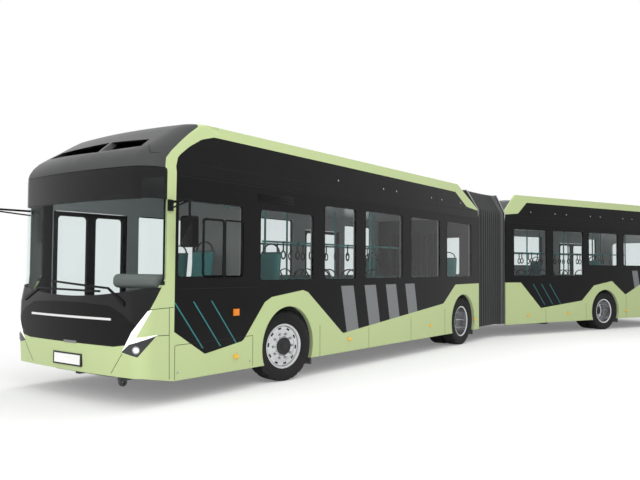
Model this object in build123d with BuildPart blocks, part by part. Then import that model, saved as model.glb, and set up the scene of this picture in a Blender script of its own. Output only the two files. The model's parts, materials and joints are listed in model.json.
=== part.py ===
from build123d import *
import os
from math import atan2, cos, hypot, radians, sin, tan

os.makedirs("parts", exist_ok=True)

# Articulated low-floor city bus: a front car on a steered and a driven axle, and a rear car on a third axle,
# joined by a turntable inside a bellows. It stands as it turns: rear car bent, front wheels steered.
# Working frame, in mm: front axle at X 0, +X forwards, +Y to the left, +Z up, road at Z 0.
# The rear car is drawn in a frame of its own, with X 0 at the pivot, and is then swung into place.

SIDES = (1, -1)  # left, right
RUNNING_GAP = 0.05  # radial clearance of a pin or shaft in its bore
SEAT_GAP = 0.3  # clearance between pieces that are pressed or bonded together

# Body shell
HALF_WIDTH = 1275.0
SKIRT_Z = 270.0
FLOOR_Z = 340.0
FLOOR_THICK = 50.0
CANT_Z = 2640.0
TOP_Z = 3300.0
FAIRING_LEAN = 98.0
FAIRING_THICK = 50.0
ROOF_THICK = 50.0
WALL = 60.0
INNER_HALF = HALF_WIDTH - WALL
FLOOR_UNDER_Z = FLOOR_Z - FLOOR_THICK

# Lengths of the two cars
NOSE_X = 2600.0
CAB_X = 2060.0
WHEELBASE = 5650.0
REAR_OVERHANG = 780.0
GANGWAY_LENGTH = 1420.0
FRONT_CAR_END = -WHEELBASE - REAR_OVERHANG
PIVOT_X = FRONT_CAR_END - GANGWAY_LENGTH
BEND = -21.7
REAR_CAR_FRONT = -430.0
TRAILER_AXLE_X = -4080.0
REAR_WALL_END = -7230.0
TAIL_X = -7530.0

# Double doors, all on the right side; each pair swings inwards on its outer edges
DOOR_WIDTH = 1220.0
FRONT_DOOR_X = 1435.0
MIDDLE_DOOR_X = -0.7345 * WHEELBASE
REAR_DOOR_X = -6000.0

# Windows, each row: rear X, front X, bottom Z, top Z; those between the axles follow the wheelbase
WINDOW_CORNER = 55.0
SIDE_GLASS = 10.0
GLASS_INSET = 8.0
SILL = 1385.0
HIGH_SILL = 1645.0
HEAD = 2495.0
LOW_HEAD = 2335.0
FRONT_LEFT_WINDOWS = (
    (930.0, 2030.0, 1440.0, 2350.0),
    (-560.0, 614.0, SILL, LOW_HEAD),
    (-0.2968 * WHEELBASE, -0.1444 * WHEELBASE, SILL, HEAD),
    (-0.5582 * WHEELBASE, -0.3423 * WHEELBASE, SILL, HEAD),
    (-0.8147 * WHEELBASE, -0.6094 * WHEELBASE, SILL, HEAD),
    (-WHEELBASE - 402.0, -WHEELBASE + 760.0, SILL, HEAD),
)
FRONT_RIGHT_WINDOWS = (
    (-560.0, 614.0, SILL, LOW_HEAD),
    (-0.2968 * WHEELBASE, -0.1444 * WHEELBASE, SILL, HEAD),
    (-0.5582 * WHEELBASE, -0.3423 * WHEELBASE, SILL, HEAD),
    (-WHEELBASE - 402.0, MIDDLE_DOOR_X - DOOR_WIDTH / 2 - 200.0, SILL, HEAD),
)
REAR_LEFT_WINDOWS = (
    (-1845.0, -704.0, SILL, HEAD),
    (-3217.0, -2062.0, SILL, HEAD),
    (-4631.0, -3414.0, HIGH_SILL, HEAD),
    (-6045.0, -4858.0, HIGH_SILL, HEAD),
    (-7110.0, -6272.0, HIGH_SILL, HEAD),
)
REAR_RIGHT_WINDOWS = (
    (-1845.0, -704.0, SILL, HEAD),
    (-3217.0, -2062.0, SILL, HEAD),
    (-4631.0, -3414.0, HIGH_SILL, HEAD),
    (-7150.0, -6790.0, HIGH_SILL, HEAD),
)

# Leaves of the doors
SILL_Z = 345.0
DOOR_HEAD_Z = 2330.0
LEAF_THICK = 45.0
LEAF_EDGE_GAP = 15.0
LEAF_MEET_GAP = 12.0
LEAF_END_GAP = 8.0
LEAF_BORDER = 62.0
LEAF_KICK = 150.0
LEAF_GLASS = 12.0
LEAF_AXIS_IN = 40.0
LEAF_PIN_R = 12.0
LEAF_PIN_LENGTH = 34.0
LEAF_LENGTH = (DOOR_WIDTH - 2 * LEAF_EDGE_GAP - LEAF_MEET_GAP) / 2
LEAF_MID_Y = -(HALF_WIDTH - LEAF_THICK / 2)

# Wheels: single on the steered axle, twin on the other two
TYRE_R = 479.0
TYRE_WIDTH = 274.0
BEAD_R = 288.0
RIM_BARREL = 17.0
WHEEL_OUT_Y = 1240.0
TWIN_PITCH = 320.0
ARCH_R = 550.0
HOUSING_R = 572.0
HOUSING_WALL = 25.0
HOUSING_IN_Y = 612.0
KINGPIN_Y = 1040.0
KINGPIN_R = 25.0
STEER = -10.8
SPINDLE_R = 32.0
TWIN_SPINDLE_R = 45.0
NUTS = 10

# Articulation
TURNTABLE_R = 880.0
TURNTABLE_GAP = 8.0
GANGWAY_HALF = 700.0
PIVOT_R = 120.0
BOLSTER_Z = 195.0
FOLDS = 14
FOLD_DEPTH = 60.0
BELLOWS_HALF = 1250.0
BELLOWS_SKIN = 24.0
BELLOWS_TOP = 3270.0

FRONT_AXLES = (0.0, -WHEELBASE)
TYRE_MID_Y = WHEEL_OUT_Y - TYRE_WIDTH / 2
rear_place = Location((PIVOT_X, 0, 0), (0, 0, BEND))
pieces = {}


def keep(name, part, place=Location()):
    """Files a finished piece under its name, in its place on the standing bus."""
    pieces[name] = part.moved(place)


# Side walls


def doorway_edges(centre):
    """Rear and front edge of a doorway."""
    return centre - DOOR_WIDTH / 2, centre + DOOR_WIDTH / 2


def hinge_lines(centre):
    """X of the two hinge lines of a doorway, rear leaf first."""
    rear, front = doorway_edges(centre)
    return rear + LEAF_AXIS_IN, front - LEAF_AXIS_IN


def side_wall(side, rear_x, front_x, windows, axles, doors):
    """Side wall from skirt to cant rail, cut for windows, wheel arches and doorways."""
    with BuildPart() as wall:
        with BuildSketch(Plane.XZ.offset(-side * HALF_WIDTH)):
            with Locations(((rear_x + front_x) / 2, (SKIRT_Z + CANT_Z) / 2)):
                Rectangle(front_x - rear_x, CANT_Z - SKIRT_Z)
            for x0, x1, z0, z1 in windows:
                with Locations(((x0 + x1) / 2, (z0 + z1) / 2)):
                    RectangleRounded(x1 - x0, z1 - z0, WINDOW_CORNER, mode=Mode.SUBTRACT)
            with Locations(*[(x, TYRE_R) for x in axles]):
                Circle(ARCH_R, mode=Mode.SUBTRACT)
            for centre in doors:
                with Locations((centre, (SILL_Z + DOOR_HEAD_Z) / 2)):
                    Rectangle(DOOR_WIDTH, DOOR_HEAD_Z - SILL_Z, mode=Mode.SUBTRACT)
        extrude(amount=side * WALL)
        for centre in doors:
            for x in hinge_lines(centre):
                with BuildSketch(Plane.XY.offset(SILL_Z + LEAF_END_GAP - LEAF_PIN_LENGTH - SEAT_GAP)):
                    with Locations((x, LEAF_MID_Y)):
                        Circle(LEAF_PIN_R + RUNNING_GAP)
                extrude(amount=LEAF_PIN_LENGTH, mode=Mode.SUBTRACT)
                with BuildSketch(Plane.XY.offset(DOOR_HEAD_Z - LEAF_END_GAP + LEAF_PIN_LENGTH + SEAT_GAP)):
                    with Locations((x, LEAF_MID_Y)):
                        Circle(LEAF_PIN_R + RUNNING_GAP)
                extrude(amount=-LEAF_PIN_LENGTH, mode=Mode.SUBTRACT)
    return wall.part


keep("front_wall_left", side_wall(1, FRONT_CAR_END, CAB_X, FRONT_LEFT_WINDOWS, FRONT_AXLES, ()))
keep(
    "front_wall_right",
    side_wall(-1, FRONT_CAR_END, CAB_X, FRONT_RIGHT_WINDOWS, FRONT_AXLES, (FRONT_DOOR_X, MIDDLE_DOOR_X)),
)
REAR_AXLES = (TRAILER_AXLE_X,)
keep(
    "rear_wall_left",
    side_wall(1, REAR_WALL_END, REAR_CAR_FRONT, REAR_LEFT_WINDOWS, REAR_AXLES, ()),
    rear_place,
)
keep(
    "rear_wall_right",
    side_wall(-1, REAR_WALL_END, REAR_CAR_FRONT, REAR_RIGHT_WINDOWS, REAR_AXLES, (REAR_DOOR_X,)),
    rear_place,
)


# Side glass: one flush pane in each opening


def panes(side, windows):
    """Outlines of the panes of one side wall."""
    with BuildSketch(Plane.XZ.offset(-side * (HALF_WIDTH - GLASS_INSET))) as outlines:
        for x0, x1, z0, z1 in windows:
            with Locations(((x0 + x1) / 2, (z0 + z1) / 2)):
                RectangleRounded(x1 - x0 - 2 * SEAT_GAP, z1 - z0 - 2 * SEAT_GAP, WINDOW_CORNER)
    return outlines.sketch


with BuildPart() as front_glass:
    extrude(panes(1, FRONT_LEFT_WINDOWS), amount=SIDE_GLASS)
    extrude(panes(-1, FRONT_RIGHT_WINDOWS), amount=-SIDE_GLASS)
keep("front_glass", front_glass.part)

# Cab: plan outlines at a few heights, each with straight sides, two rounded corners and a bowed front
# Columns: height Z, front X on the centreline, corner radius, turn of each corner in degrees
NOSE_TOP_Z = 2690.0
NOSE_SECTIONS = (
    (SKIRT_Z, NOSE_X - 30, 200.0, 84.0),
    (700.0, NOSE_X, 200.0, 84.0),
    (1110.0, NOSE_X, 205.0, 83.5),
    (1420.0, NOSE_X, 280.0, 80.0),
    (CANT_Z, NOSE_X, 280.0, 80.0),
    (NOSE_TOP_Z, NOSE_X, 280.0, 80.0),
)
SCREEN_GLASS = 14.0
SCREEN_TOP_Z = 2680.0
PILLAR_X = 2190.0
# Edge of the black front on the corner, seen from the side: X and Z, from the pillar down to the lid
PILLAR_EDGE = ((PILLAR_X, SCREEN_TOP_Z), (PILLAR_X, 1430.0), (2410.0, 1078.0), (2545.0, 820.0))
# Left half of the front lid seen from the front: Y and Z
LID_TOP_Z = 1147.0
LID_OUTLINE = (
    (850.0, 672.0),
    (1000.0, 694.0),
    (1060.0, 706.0),
    (1145.0, 845.0),
    (1180.0, 915.0),
    (975.0, 1045.0),
    (760.0, 1126.0),
    (300.0, LID_TOP_Z),
)
# Left headlamp on a plane that faces halfway between forwards and sideways: distance along it and Z
LAMP_OUTLINE = (
    (-1112.0, 619.0),
    (-926.0, 576.0),
    (-722.0, 812.0),
    (-950.0, 785.0),
    (-784.0, 1086.0),
    (-825.0, 1078.0),
    (-1000.0, 845.0),
    (-1068.0, 706.0),
)
LAMP_FACING = 45.0
LAMP_BACK = 2330.0
LAMP_FRONT = 2760.0
BUMPER_RISE_X = 2450.0
BUMPER_LOW_Z = 340.0
NOSE_CLEAR_X = NOSE_X + 100


def lean(z):
    """How far the upper side panels have leaned in at a height."""
    return FAIRING_LEAN * max(z - CANT_Z, 0) / (TOP_Z - CANT_Z)


def cab_plan(section, back, inset, drop=0.0):
    """Plan outline of the cab's skin, drawn in by an inset and lowered by a drop."""
    z, front_x, corner_r, turn_deg = section
    turn = radians(turn_deg)
    half = HALF_WIDTH - lean(z) - inset
    r = corner_r - inset
    end_y = half - r * (1 - cos(turn))
    end_x = front_x - inset - end_y * tan(radians(90 - turn_deg) / 2)
    start = end_x - r * sin(turn)
    mid = (start + r * sin(turn / 2), half - r * (1 - cos(turn / 2)))
    with BuildSketch(Plane.XY.offset(z - drop)) as plan:
        with BuildLine():
            Line((back, half), (start, half))
            ThreePointArc((start, half), mid, (end_x, end_y))
            ThreePointArc((end_x, end_y), (front_x - inset, 0), (end_x, -end_y))
            ThreePointArc((end_x, -end_y), (mid[0], -mid[1]), (start, -half))
            Line((start, -half), (back, -half))
            Line((back, -half), (back, half))
        make_face()
    return plan.sketch


def nose_solid(inset):
    """Solid nose, drawn in from its outer skin by the inset."""
    with BuildPart() as nose:
        loft(sections=[cab_plan(section, CAB_X, inset) for section in NOSE_SECTIONS], ruled=True)
    return nose.part


def lid_view():
    """Outline of the front lid seen from the front."""
    with BuildSketch(Plane.YZ.offset(PILLAR_X)) as outline:
        with BuildLine():
            Polyline(*LID_OUTLINE, *[(-y, z) for y, z in reversed(LID_OUTLINE)], close=True)
        make_face()
    return outline.sketch


def side_view(points):
    """Outline seen from the side, on the left edge of the bus."""
    with BuildSketch(Plane.XZ.offset(-HALF_WIDTH)) as outline:
        with BuildLine():
            Polyline(*points, close=True)
        make_face()
    return outline.sketch


def lamp_prism(margin):
    """Left headlamp as a straight prism through the nose's corner, grown by a margin."""
    facing = radians(LAMP_FACING)
    plane = Plane(origin=(0, 0, 0), x_dir=(-sin(facing), cos(facing), 0), z_dir=(cos(facing), sin(facing), 0))
    with BuildPart() as prism:
        with BuildSketch(plane.offset(LAMP_BACK)):
            with BuildLine():
                Polyline(*LAMP_OUTLINE, close=True)
            make_face()
            offset(amount=margin, kind=Kind.INTERSECTION)
        extrude(amount=LAMP_FRONT - LAMP_BACK)
    return prism.part


screen_sides = (*PILLAR_EDGE, (NOSE_CLEAR_X, PILLAR_EDGE[-1][1]), (NOSE_CLEAR_X, SCREEN_TOP_Z))
bumper_cut = (
    (CAB_X, SKIRT_Z),
    (BUMPER_RISE_X, BUMPER_LOW_Z),
    (NOSE_CLEAR_X, BUMPER_LOW_Z),
    (NOSE_CLEAR_X, 0),
    (CAB_X, 0),
)
LID_REACH = NOSE_CLEAR_X - PILLAR_X
left_pocket = lamp_prism(SEAT_GAP)
lamp_pockets = left_pocket + mirror(left_pocket, about=Plane.XZ)

with BuildPart() as front_mask:
    add(nose_solid(0))
    add(nose_solid(WALL), mode=Mode.SUBTRACT)
    extrude(lid_view(), amount=LID_REACH, mode=Mode.SUBTRACT)
    extrude(side_view(screen_sides), amount=2 * HALF_WIDTH, mode=Mode.SUBTRACT)
    extrude(side_view(bumper_cut), amount=2 * HALF_WIDTH, mode=Mode.SUBTRACT)
    add(lamp_pockets, mode=Mode.SUBTRACT)
keep("front_mask", front_mask.part)

with BuildPart() as front_panel:
    add(nose_solid(0))
    add(nose_solid(WALL), mode=Mode.SUBTRACT)
    extrude(lid_view(), amount=LID_REACH, mode=Mode.INTERSECT)
    add(lamp_pockets, mode=Mode.SUBTRACT)
keep("front_panel", front_panel.part)

with BuildPart() as windscreen:
    add(nose_solid(0))
    add(nose_solid(SCREEN_GLASS), mode=Mode.SUBTRACT)
    extrude(side_view(screen_sides), amount=2 * HALF_WIDTH, mode=Mode.INTERSECT)
    extrude(lid_view(), amount=LID_REACH, mode=Mode.SUBTRACT)
    add(lamp_pockets, mode=Mode.SUBTRACT)
keep("windscreen", windscreen.part)

with BuildPart() as headlamps:
    add(nose_solid(0))
    add(nose_solid(WALL), mode=Mode.SUBTRACT)
    add(lamp_prism(0), mode=Mode.INTERSECT)
    mirror(about=Plane.XZ)
keep("headlamps", headlamps.part)

# Dome over the windscreen: the same outlines, drawn back as they rise; columns as for the nose
DOME_BACK = 1300.0
DOME_SKIN = 40.0
CEILING_FRONT_X = 1950.0
DOME_SECTIONS = (
    (CANT_Z, NOSE_X, 280.0, 80.0),
    (NOSE_TOP_Z + 20, NOSE_X, 280.0, 80.0),
    (2760.0, NOSE_X - 15, 280.0, 80.0),
    (2830.0, NOSE_X - 58, 277.0, 80.0),
    (2900.0, NOSE_X - 130, 274.0, 80.0),
    (2980.0, NOSE_X - 250, 270.0, 80.0),
    (3080.0, NOSE_X - 413, 265.0, 80.0),
    (3200.0, NOSE_X - 600, 258.0, 80.0),
    (3270.0, NOSE_X - 720, 253.0, 80.0),
    (TOP_Z, NOSE_X - 800, 250.0, 80.0),
)
# Air intake in the dome's brow, in two parts with a slanting bar between them: Y and Z of each part
INTAKES = (
    ((-940.0, 2965.0), (300.0, 2925.0), (170.0, 3090.0), (-880.0, 3060.0)),
    ((345.0, 2925.0), (960.0, 2950.0), (900.0, 3060.0), (215.0, 3090.0)),
)


def dome_solid(inset):
    """Solid dome, drawn in from its skin and lowered by the inset."""
    with BuildPart() as dome:
        plans = [cab_plan(section, DOME_BACK + inset, inset, inset) for section in DOME_SECTIONS]
        loft(sections=plans, ruled=True)
    return dome.part


def ceiling_plan(margin):
    """Plan of the ceiling that reaches forwards under the dome, grown by a margin."""
    with BuildSketch(Plane.XY.offset(CANT_Z)) as plan:
        with Locations(((DOME_BACK + CEILING_FRONT_X) / 2, 0)):
            Rectangle(CEILING_FRONT_X - DOME_BACK + 2 * margin, 2 * (HALF_WIDTH - 2 * DOME_SKIN + margin))
    return plan.sketch


with BuildPart() as left_dome:
    add(dome_solid(0))
    add(dome_solid(DOME_SKIN), mode=Mode.SUBTRACT)
    with BuildSketch(Plane.XZ.offset(-HALF_WIDTH)):
        with Locations(((CAB_X + NOSE_CLEAR_X) / 2, (CANT_Z + NOSE_TOP_Z) / 2)):
            Rectangle(NOSE_CLEAR_X - CAB_X, NOSE_TOP_Z - CANT_Z)
    extrude(amount=2 * HALF_WIDTH, mode=Mode.SUBTRACT)
    with BuildSketch(Plane.XZ):
        with Locations((NOSE_X / 2, TOP_Z / 2)):
            Rectangle(2 * NOSE_X, 2 * TOP_Z)
    extrude(amount=2 * HALF_WIDTH, mode=Mode.SUBTRACT)

with BuildPart() as front_dome:
    add(left_dome.part)
    mirror(about=Plane.XZ)
    with BuildSketch(Plane.YZ.offset(CAB_X)):
        for corners in INTAKES:
            with BuildLine():
                Polyline(*corners, close=True)
            make_face()
    extrude(amount=NOSE_CLEAR_X - CAB_X, mode=Mode.SUBTRACT)
    extrude(ceiling_plan(SEAT_GAP), amount=ROOF_THICK + SEAT_GAP, mode=Mode.SUBTRACT)
keep("front_dome", front_dome.part)

# Roofs: a trough between two leaning fairings, trimmed to the side view
FRONT_TAIL_SLOPE_X = FRONT_CAR_END + 840.0
FRONT_TAIL_SLOPE_Z = 2842.0
REAR_HEAD_SLOPE_X = -874.0
REAR_HEAD_SLOPE_Z = 2865.0
REAR_TAIL_SLOPE_X = -6950.0
REAR_TAIL_SLOPE_Z = 2980.0


def roof_trough(rear_x, front_x, outline):
    """Roof and its fairings between two ends, trimmed to an outline seen from the side."""
    floor_half = HALF_WIDTH - lean(CANT_Z + ROOF_THICK) - FAIRING_THICK
    top_half = HALF_WIDTH - FAIRING_LEAN
    half_section = (
        (HALF_WIDTH, CANT_Z),
        (top_half, TOP_Z),
        (top_half - FAIRING_THICK, TOP_Z),
        (floor_half, CANT_Z + ROOF_THICK),
    )
    with BuildPart() as roof:
        with BuildSketch(Plane.YZ.offset(rear_x)):
            with BuildLine():
                Polyline(*half_section, *[(-y, z) for y, z in reversed(half_section)], close=True)
            make_face()
        extrude(amount=front_x - rear_x)
        with BuildSketch(Plane.XZ.offset(-HALF_WIDTH)):
            with BuildLine():
                Polyline(*outline, close=True)
            make_face()
        extrude(amount=2 * HALF_WIDTH, mode=Mode.INTERSECT)
    return roof.part


front_roof_outline = (
    (FRONT_CAR_END, CANT_Z),
    (DOME_BACK, CANT_Z),
    (DOME_BACK, TOP_Z),
    (FRONT_TAIL_SLOPE_X, TOP_Z),
    (FRONT_CAR_END, FRONT_TAIL_SLOPE_Z),
)
with BuildPart() as front_roof:
    add(roof_trough(FRONT_CAR_END, DOME_BACK, front_roof_outline))
    extrude(ceiling_plan(0), amount=ROOF_THICK)
keep("front_roof", front_roof.part)

rear_roof_outline = (
    (REAR_CAR_FRONT, CANT_Z),
    (REAR_CAR_FRONT, REAR_HEAD_SLOPE_Z),
    (REAR_HEAD_SLOPE_X, TOP_Z),
    (REAR_TAIL_SLOPE_X, TOP_Z),
    (REAR_WALL_END, REAR_TAIL_SLOPE_Z),
    (REAR_WALL_END, CANT_Z),
)
keep("rear_roof", roof_trough(REAR_WALL_END, REAR_CAR_FRONT, rear_roof_outline), rear_place)

# Tail: rounded end wall with its window, lamp recesses and a sloping top cover
TAIL_CORNER = 230.0
TAIL_TURN = 72.0
TAIL_BOW = 60.0
TAIL_WINDOW_HALF = 880.0
TAIL_WINDOW_Z = (1560.0, 2350.0)
TAIL_LAMPS = (  # columns: bottom Z, top Z
    (760.0, 900.0),
    (920.0, 1060.0),
    (1080.0, 1220.0),
)
TAIL_LAMP_Y = 1010.0
TAIL_LAMP_WIDTH = 130.0


def tail_plan(inset):
    """Plan outline of the tail, drawn in by the inset."""
    half = HALF_WIDTH - inset
    rear = TAIL_X + inset
    r = TAIL_CORNER - inset
    turn = radians(TAIL_TURN)
    end = (rear + TAIL_BOW, half - r * (1 - cos(turn)))
    start_x = end[0] + r * sin(turn)
    mid = (start_x - r * sin(turn / 2), half - r * (1 - cos(turn / 2)))
    with BuildSketch(Plane.XY.offset(SKIRT_Z)) as plan:
        with BuildLine():
            Line((REAR_WALL_END, half), (start_x, half))
            ThreePointArc((start_x, half), mid, end)
            ThreePointArc(end, (rear, 0), (end[0], -end[1]))
            ThreePointArc((end[0], -end[1]), (mid[0], -mid[1]), (start_x, -half))
            Line((start_x, -half), (REAR_WALL_END, -half))
            Line((REAR_WALL_END, -half), (REAR_WALL_END, half))
        make_face()
    return plan.sketch


def tail_lamp_view(margin):
    """Outlines of the tail lamps seen from behind, grown by a margin."""
    with BuildSketch(Plane.YZ.offset(TAIL_X)) as outlines:
        for z0, z1 in TAIL_LAMPS:
            with Locations(*[(side * TAIL_LAMP_Y, (z0 + z1) / 2) for side in SIDES]):
                RectangleRounded(TAIL_LAMP_WIDTH + 2 * margin, z1 - z0 + 2 * margin, 30)
    return outlines.sketch


def tail_window(margin):
    """Outline of the rear window seen from behind, grown by a margin."""
    z0, z1 = TAIL_WINDOW_Z
    with BuildSketch(Plane.YZ.offset(TAIL_X)) as outline:
        with Locations((0, (z0 + z1) / 2)):
            RectangleRounded(2 * (TAIL_WINDOW_HALF + margin), z1 - z0 + 2 * margin, 90)
    return outline.sketch


TAIL_REACH = REAR_WALL_END - TAIL_X
with BuildPart() as rear_mask:
    extrude(tail_plan(0), amount=REAR_TAIL_SLOPE_Z - SKIRT_Z)
    extrude(tail_plan(WALL), amount=REAR_TAIL_SLOPE_Z - SKIRT_Z - WALL, mode=Mode.SUBTRACT)
    top_half = HALF_WIDTH - lean(REAR_TAIL_SLOPE_Z)
    with BuildSketch(Plane.YZ.offset(TAIL_X)):
        with BuildLine():
            Polyline(
                (HALF_WIDTH, SKIRT_Z),
                (HALF_WIDTH, CANT_Z),
                (top_half, REAR_TAIL_SLOPE_Z),
                (-top_half, REAR_TAIL_SLOPE_Z),
                (-HALF_WIDTH, CANT_Z),
                (-HALF_WIDTH, SKIRT_Z),
                close=True,
            )
        make_face()
    extrude(amount=TAIL_REACH, mode=Mode.INTERSECT)
    extrude(tail_window(SEAT_GAP), amount=TAIL_REACH, mode=Mode.SUBTRACT)
    extrude(tail_lamp_view(SEAT_GAP), amount=TAIL_REACH, mode=Mode.SUBTRACT)
keep("rear_mask", rear_mask.part, rear_place)

with BuildPart() as tail_lamps:
    extrude(tail_plan(0), amount=CANT_Z - SKIRT_Z)
    extrude(tail_plan(WALL), amount=CANT_Z - SKIRT_Z, mode=Mode.SUBTRACT)
    extrude(tail_lamp_view(0), amount=TAIL_REACH, mode=Mode.INTERSECT)
keep("tail_lamps", tail_lamps.part, rear_place)

with BuildPart() as rear_pane:
    extrude(tail_plan(GLASS_INSET), amount=CANT_Z - SKIRT_Z)
    extrude(tail_plan(GLASS_INSET + SIDE_GLASS), amount=CANT_Z - SKIRT_Z, mode=Mode.SUBTRACT)
    extrude(tail_window(0), amount=TAIL_REACH, mode=Mode.INTERSECT)

with BuildPart() as rear_glass:
    extrude(panes(1, REAR_LEFT_WINDOWS), amount=SIDE_GLASS)
    extrude(panes(-1, REAR_RIGHT_WINDOWS), amount=-SIDE_GLASS)
    add(rear_pane.part)
keep("rear_glass", rear_glass.part, rear_place)

# Underframes: floor slab, arched wheel housings and rails below
RAIL_Z = 200.0
RAIL_Y = 430.0
RAIL_WIDTH = 90.0
FRONT_RAILS = ((640.0, 2150.0), (-WHEELBASE + 650.0, -640.0))  # columns: rear X, front X
REAR_RAILS = ((-3400.0, -1000.0), (-7000.0, -4760.0))
FLAP_LOW_Z = 165.0
FLAP_WIDTH = 330.0
EYE_X = 2180.0
EYE_Y = 520.0
EYE_R = 21.0
EYE_PLATE = 40.0
EYE_OUTER_R = 48.0


def housing_profile(radius, axle_x):
    """Draws the side view of a wheel housing: round over the wheel, straight down to the floor's underside."""
    with Locations((axle_x, TYRE_R)):
        Circle(radius)
    with Locations((axle_x, TYRE_R / 2)):
        Rectangle(2 * radius, TYRE_R)
    with Locations((axle_x, FLOOR_UNDER_Z - TYRE_R)):
        Rectangle(4 * radius, 2 * TYRE_R, mode=Mode.SUBTRACT)


def underframe(outline, axles, rails):
    """Floor slab of a car with its wheel housings and rails."""
    with BuildPart() as frame:
        with BuildSketch(Plane.XY.offset(FLOOR_UNDER_Z)):
            with BuildLine():
                Polyline(*outline, *[(x, -y) for x, y in reversed(outline)], close=True)
            make_face()
        extrude(amount=FLOOR_THICK)
        with BuildSketch(Plane.XY.offset(RAIL_Z)):
            for x0, x1 in rails:
                with Locations(*[((x0 + x1) / 2, side * RAIL_Y) for side in SIDES]):
                    Rectangle(x1 - x0, RAIL_WIDTH)
        extrude(amount=FLOOR_UNDER_Z - RAIL_Z)
        for axle_x in axles:
            for side in SIDES:
                with BuildSketch(Plane.XZ.offset(-side * (HOUSING_IN_Y - HOUSING_WALL))):
                    housing_profile(HOUSING_R + HOUSING_WALL, axle_x)
                extrude(amount=-side * (INNER_HALF - HOUSING_IN_Y + HOUSING_WALL))
                with BuildSketch(Plane.XZ.offset(-side * HOUSING_IN_Y)):
                    housing_profile(HOUSING_R, axle_x)
                extrude(amount=-side * (INNER_HALF - HOUSING_IN_Y), mode=Mode.SUBTRACT)
                # Mud flap under the rear end of the housing
                with BuildSketch(Plane.XY.offset(FLAP_LOW_Z)):
                    with Locations((axle_x - HOUSING_R - HOUSING_WALL / 2, side * (INNER_HALF - FLAP_WIDTH / 2))):
                        Rectangle(HOUSING_WALL, FLAP_WIDTH)
                extrude(amount=FLOOR_UNDER_Z - FLAP_LOW_Z)
    return frame.part


with BuildPart() as front_underframe:
    add(
        underframe(
            ((FRONT_CAR_END, INNER_HALF), (CAB_X, INNER_HALF), (2280.0, 900.0), (2400.0, 500.0)),
            FRONT_AXLES,
            FRONT_RAILS,
        )
    )
    # Towing eye: a drilled plate that hangs from the floor behind the bumper
    with BuildSketch(Plane.XZ.offset(-EYE_Y - EYE_PLATE / 2)):
        with Locations((EYE_X, BOLSTER_Z)):
            Circle(EYE_OUTER_R)
        with Locations((EYE_X, (BOLSTER_Z + FLOOR_UNDER_Z) / 2)):
            Rectangle(2 * EYE_OUTER_R, FLOOR_UNDER_Z - BOLSTER_Z)
        with Locations((EYE_X, BOLSTER_Z)):
            Circle(EYE_R, mode=Mode.SUBTRACT)
    extrude(amount=EYE_PLATE)
keep("front_underframe", front_underframe.part)

keep(
    "rear_underframe",
    underframe(((TAIL_X + WALL + TAIL_BOW + 30, 700.0), (REAR_WALL_END, INNER_HALF), (REAR_CAR_FRONT, INNER_HALF)),
               REAR_AXLES, REAR_RAILS),
    rear_place,
)

# Articulation: bolster and gangway floor on the front car, turntable on the rear car
RING_DEPTH = 60.0
RING_INSET = 5.0
RING_HALF = 850.0
RING_HEAD_Z = 2330.0
BOLSTER_HALF = 330.0
BOLSTER_R = 300.0


def end_ring(x):
    """Outline of a car's end frame, which the bellows is clamped to."""
    with BuildSketch(Plane.YZ.offset(x)) as ring:
        with Locations((0, (FLOOR_Z + CANT_Z) / 2)):
            Rectangle(2 * INNER_HALF, CANT_Z - FLOOR_Z)
        with Locations((0, (FLOOR_Z + RING_HEAD_Z) / 2)):
            Rectangle(2 * RING_HALF, RING_HEAD_Z - FLOOR_Z, mode=Mode.SUBTRACT)
    return ring.sketch


with BuildPart() as joint_bolster:
    with BuildSketch(Plane.XY.offset(FLOOR_UNDER_Z)):
        with Locations(((FRONT_CAR_END + PIVOT_X) / 2, 0)):
            Rectangle(FRONT_CAR_END - PIVOT_X, 2 * GANGWAY_HALF)
        with Locations((PIVOT_X, 0)):
            Circle(TURNTABLE_R + TURNTABLE_GAP, mode=Mode.SUBTRACT)
    extrude(amount=FLOOR_THICK)
    with BuildSketch(Plane.XY.offset(BOLSTER_Z)):
        with Locations(((FRONT_CAR_END + PIVOT_X) / 2, 0)):
            Rectangle(FRONT_CAR_END - PIVOT_X, 2 * BOLSTER_HALF)
        with Locations((PIVOT_X, 0)):
            Circle(BOLSTER_R)
        with Locations((PIVOT_X, 0)):
            Circle(PIVOT_R + RUNNING_GAP, mode=Mode.SUBTRACT)
    extrude(amount=FLOOR_UNDER_Z - BOLSTER_Z - TURNTABLE_GAP)
    with BuildSketch(Plane.XY.offset(FLOOR_UNDER_Z - TURNTABLE_GAP)):
        with Locations(((FRONT_CAR_END + PIVOT_X + TURNTABLE_R + TURNTABLE_GAP) / 2, 0)):
            Rectangle(FRONT_CAR_END - PIVOT_X - TURNTABLE_R - TURNTABLE_GAP, 2 * BOLSTER_HALF)
    extrude(amount=TURNTABLE_GAP)
    extrude(end_ring(FRONT_CAR_END + RING_INSET), amount=RING_DEPTH)
keep("joint_bolster", joint_bolster.part)

with BuildPart() as joint_turntable:
    with BuildSketch(Plane.XY.offset(FLOOR_UNDER_Z)):
        Circle(TURNTABLE_R)
        with Locations((REAR_CAR_FRONT - TURNTABLE_R, 0)):
            Rectangle(2 * TURNTABLE_R, 2 * TURNTABLE_R, mode=Mode.SUBTRACT)
    extrude(amount=FLOOR_THICK)
    with BuildSketch(Plane.XY.offset(BOLSTER_Z)):
        Circle(PIVOT_R)
    extrude(amount=FLOOR_UNDER_Z - BOLSTER_Z)
    extrude(end_ring(REAR_CAR_FRONT - RING_INSET - RING_DEPTH), amount=RING_DEPTH)
keep("joint_turntable", joint_turntable.part, rear_place)

# Bellows: pleats along a smooth curve between the two cars
BELLOWS_LOW_Z = 300.0
BELLOWS_SHOULDER_Z = 2840.0
BELLOWS_SHOULDER_IN = 260.0


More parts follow.
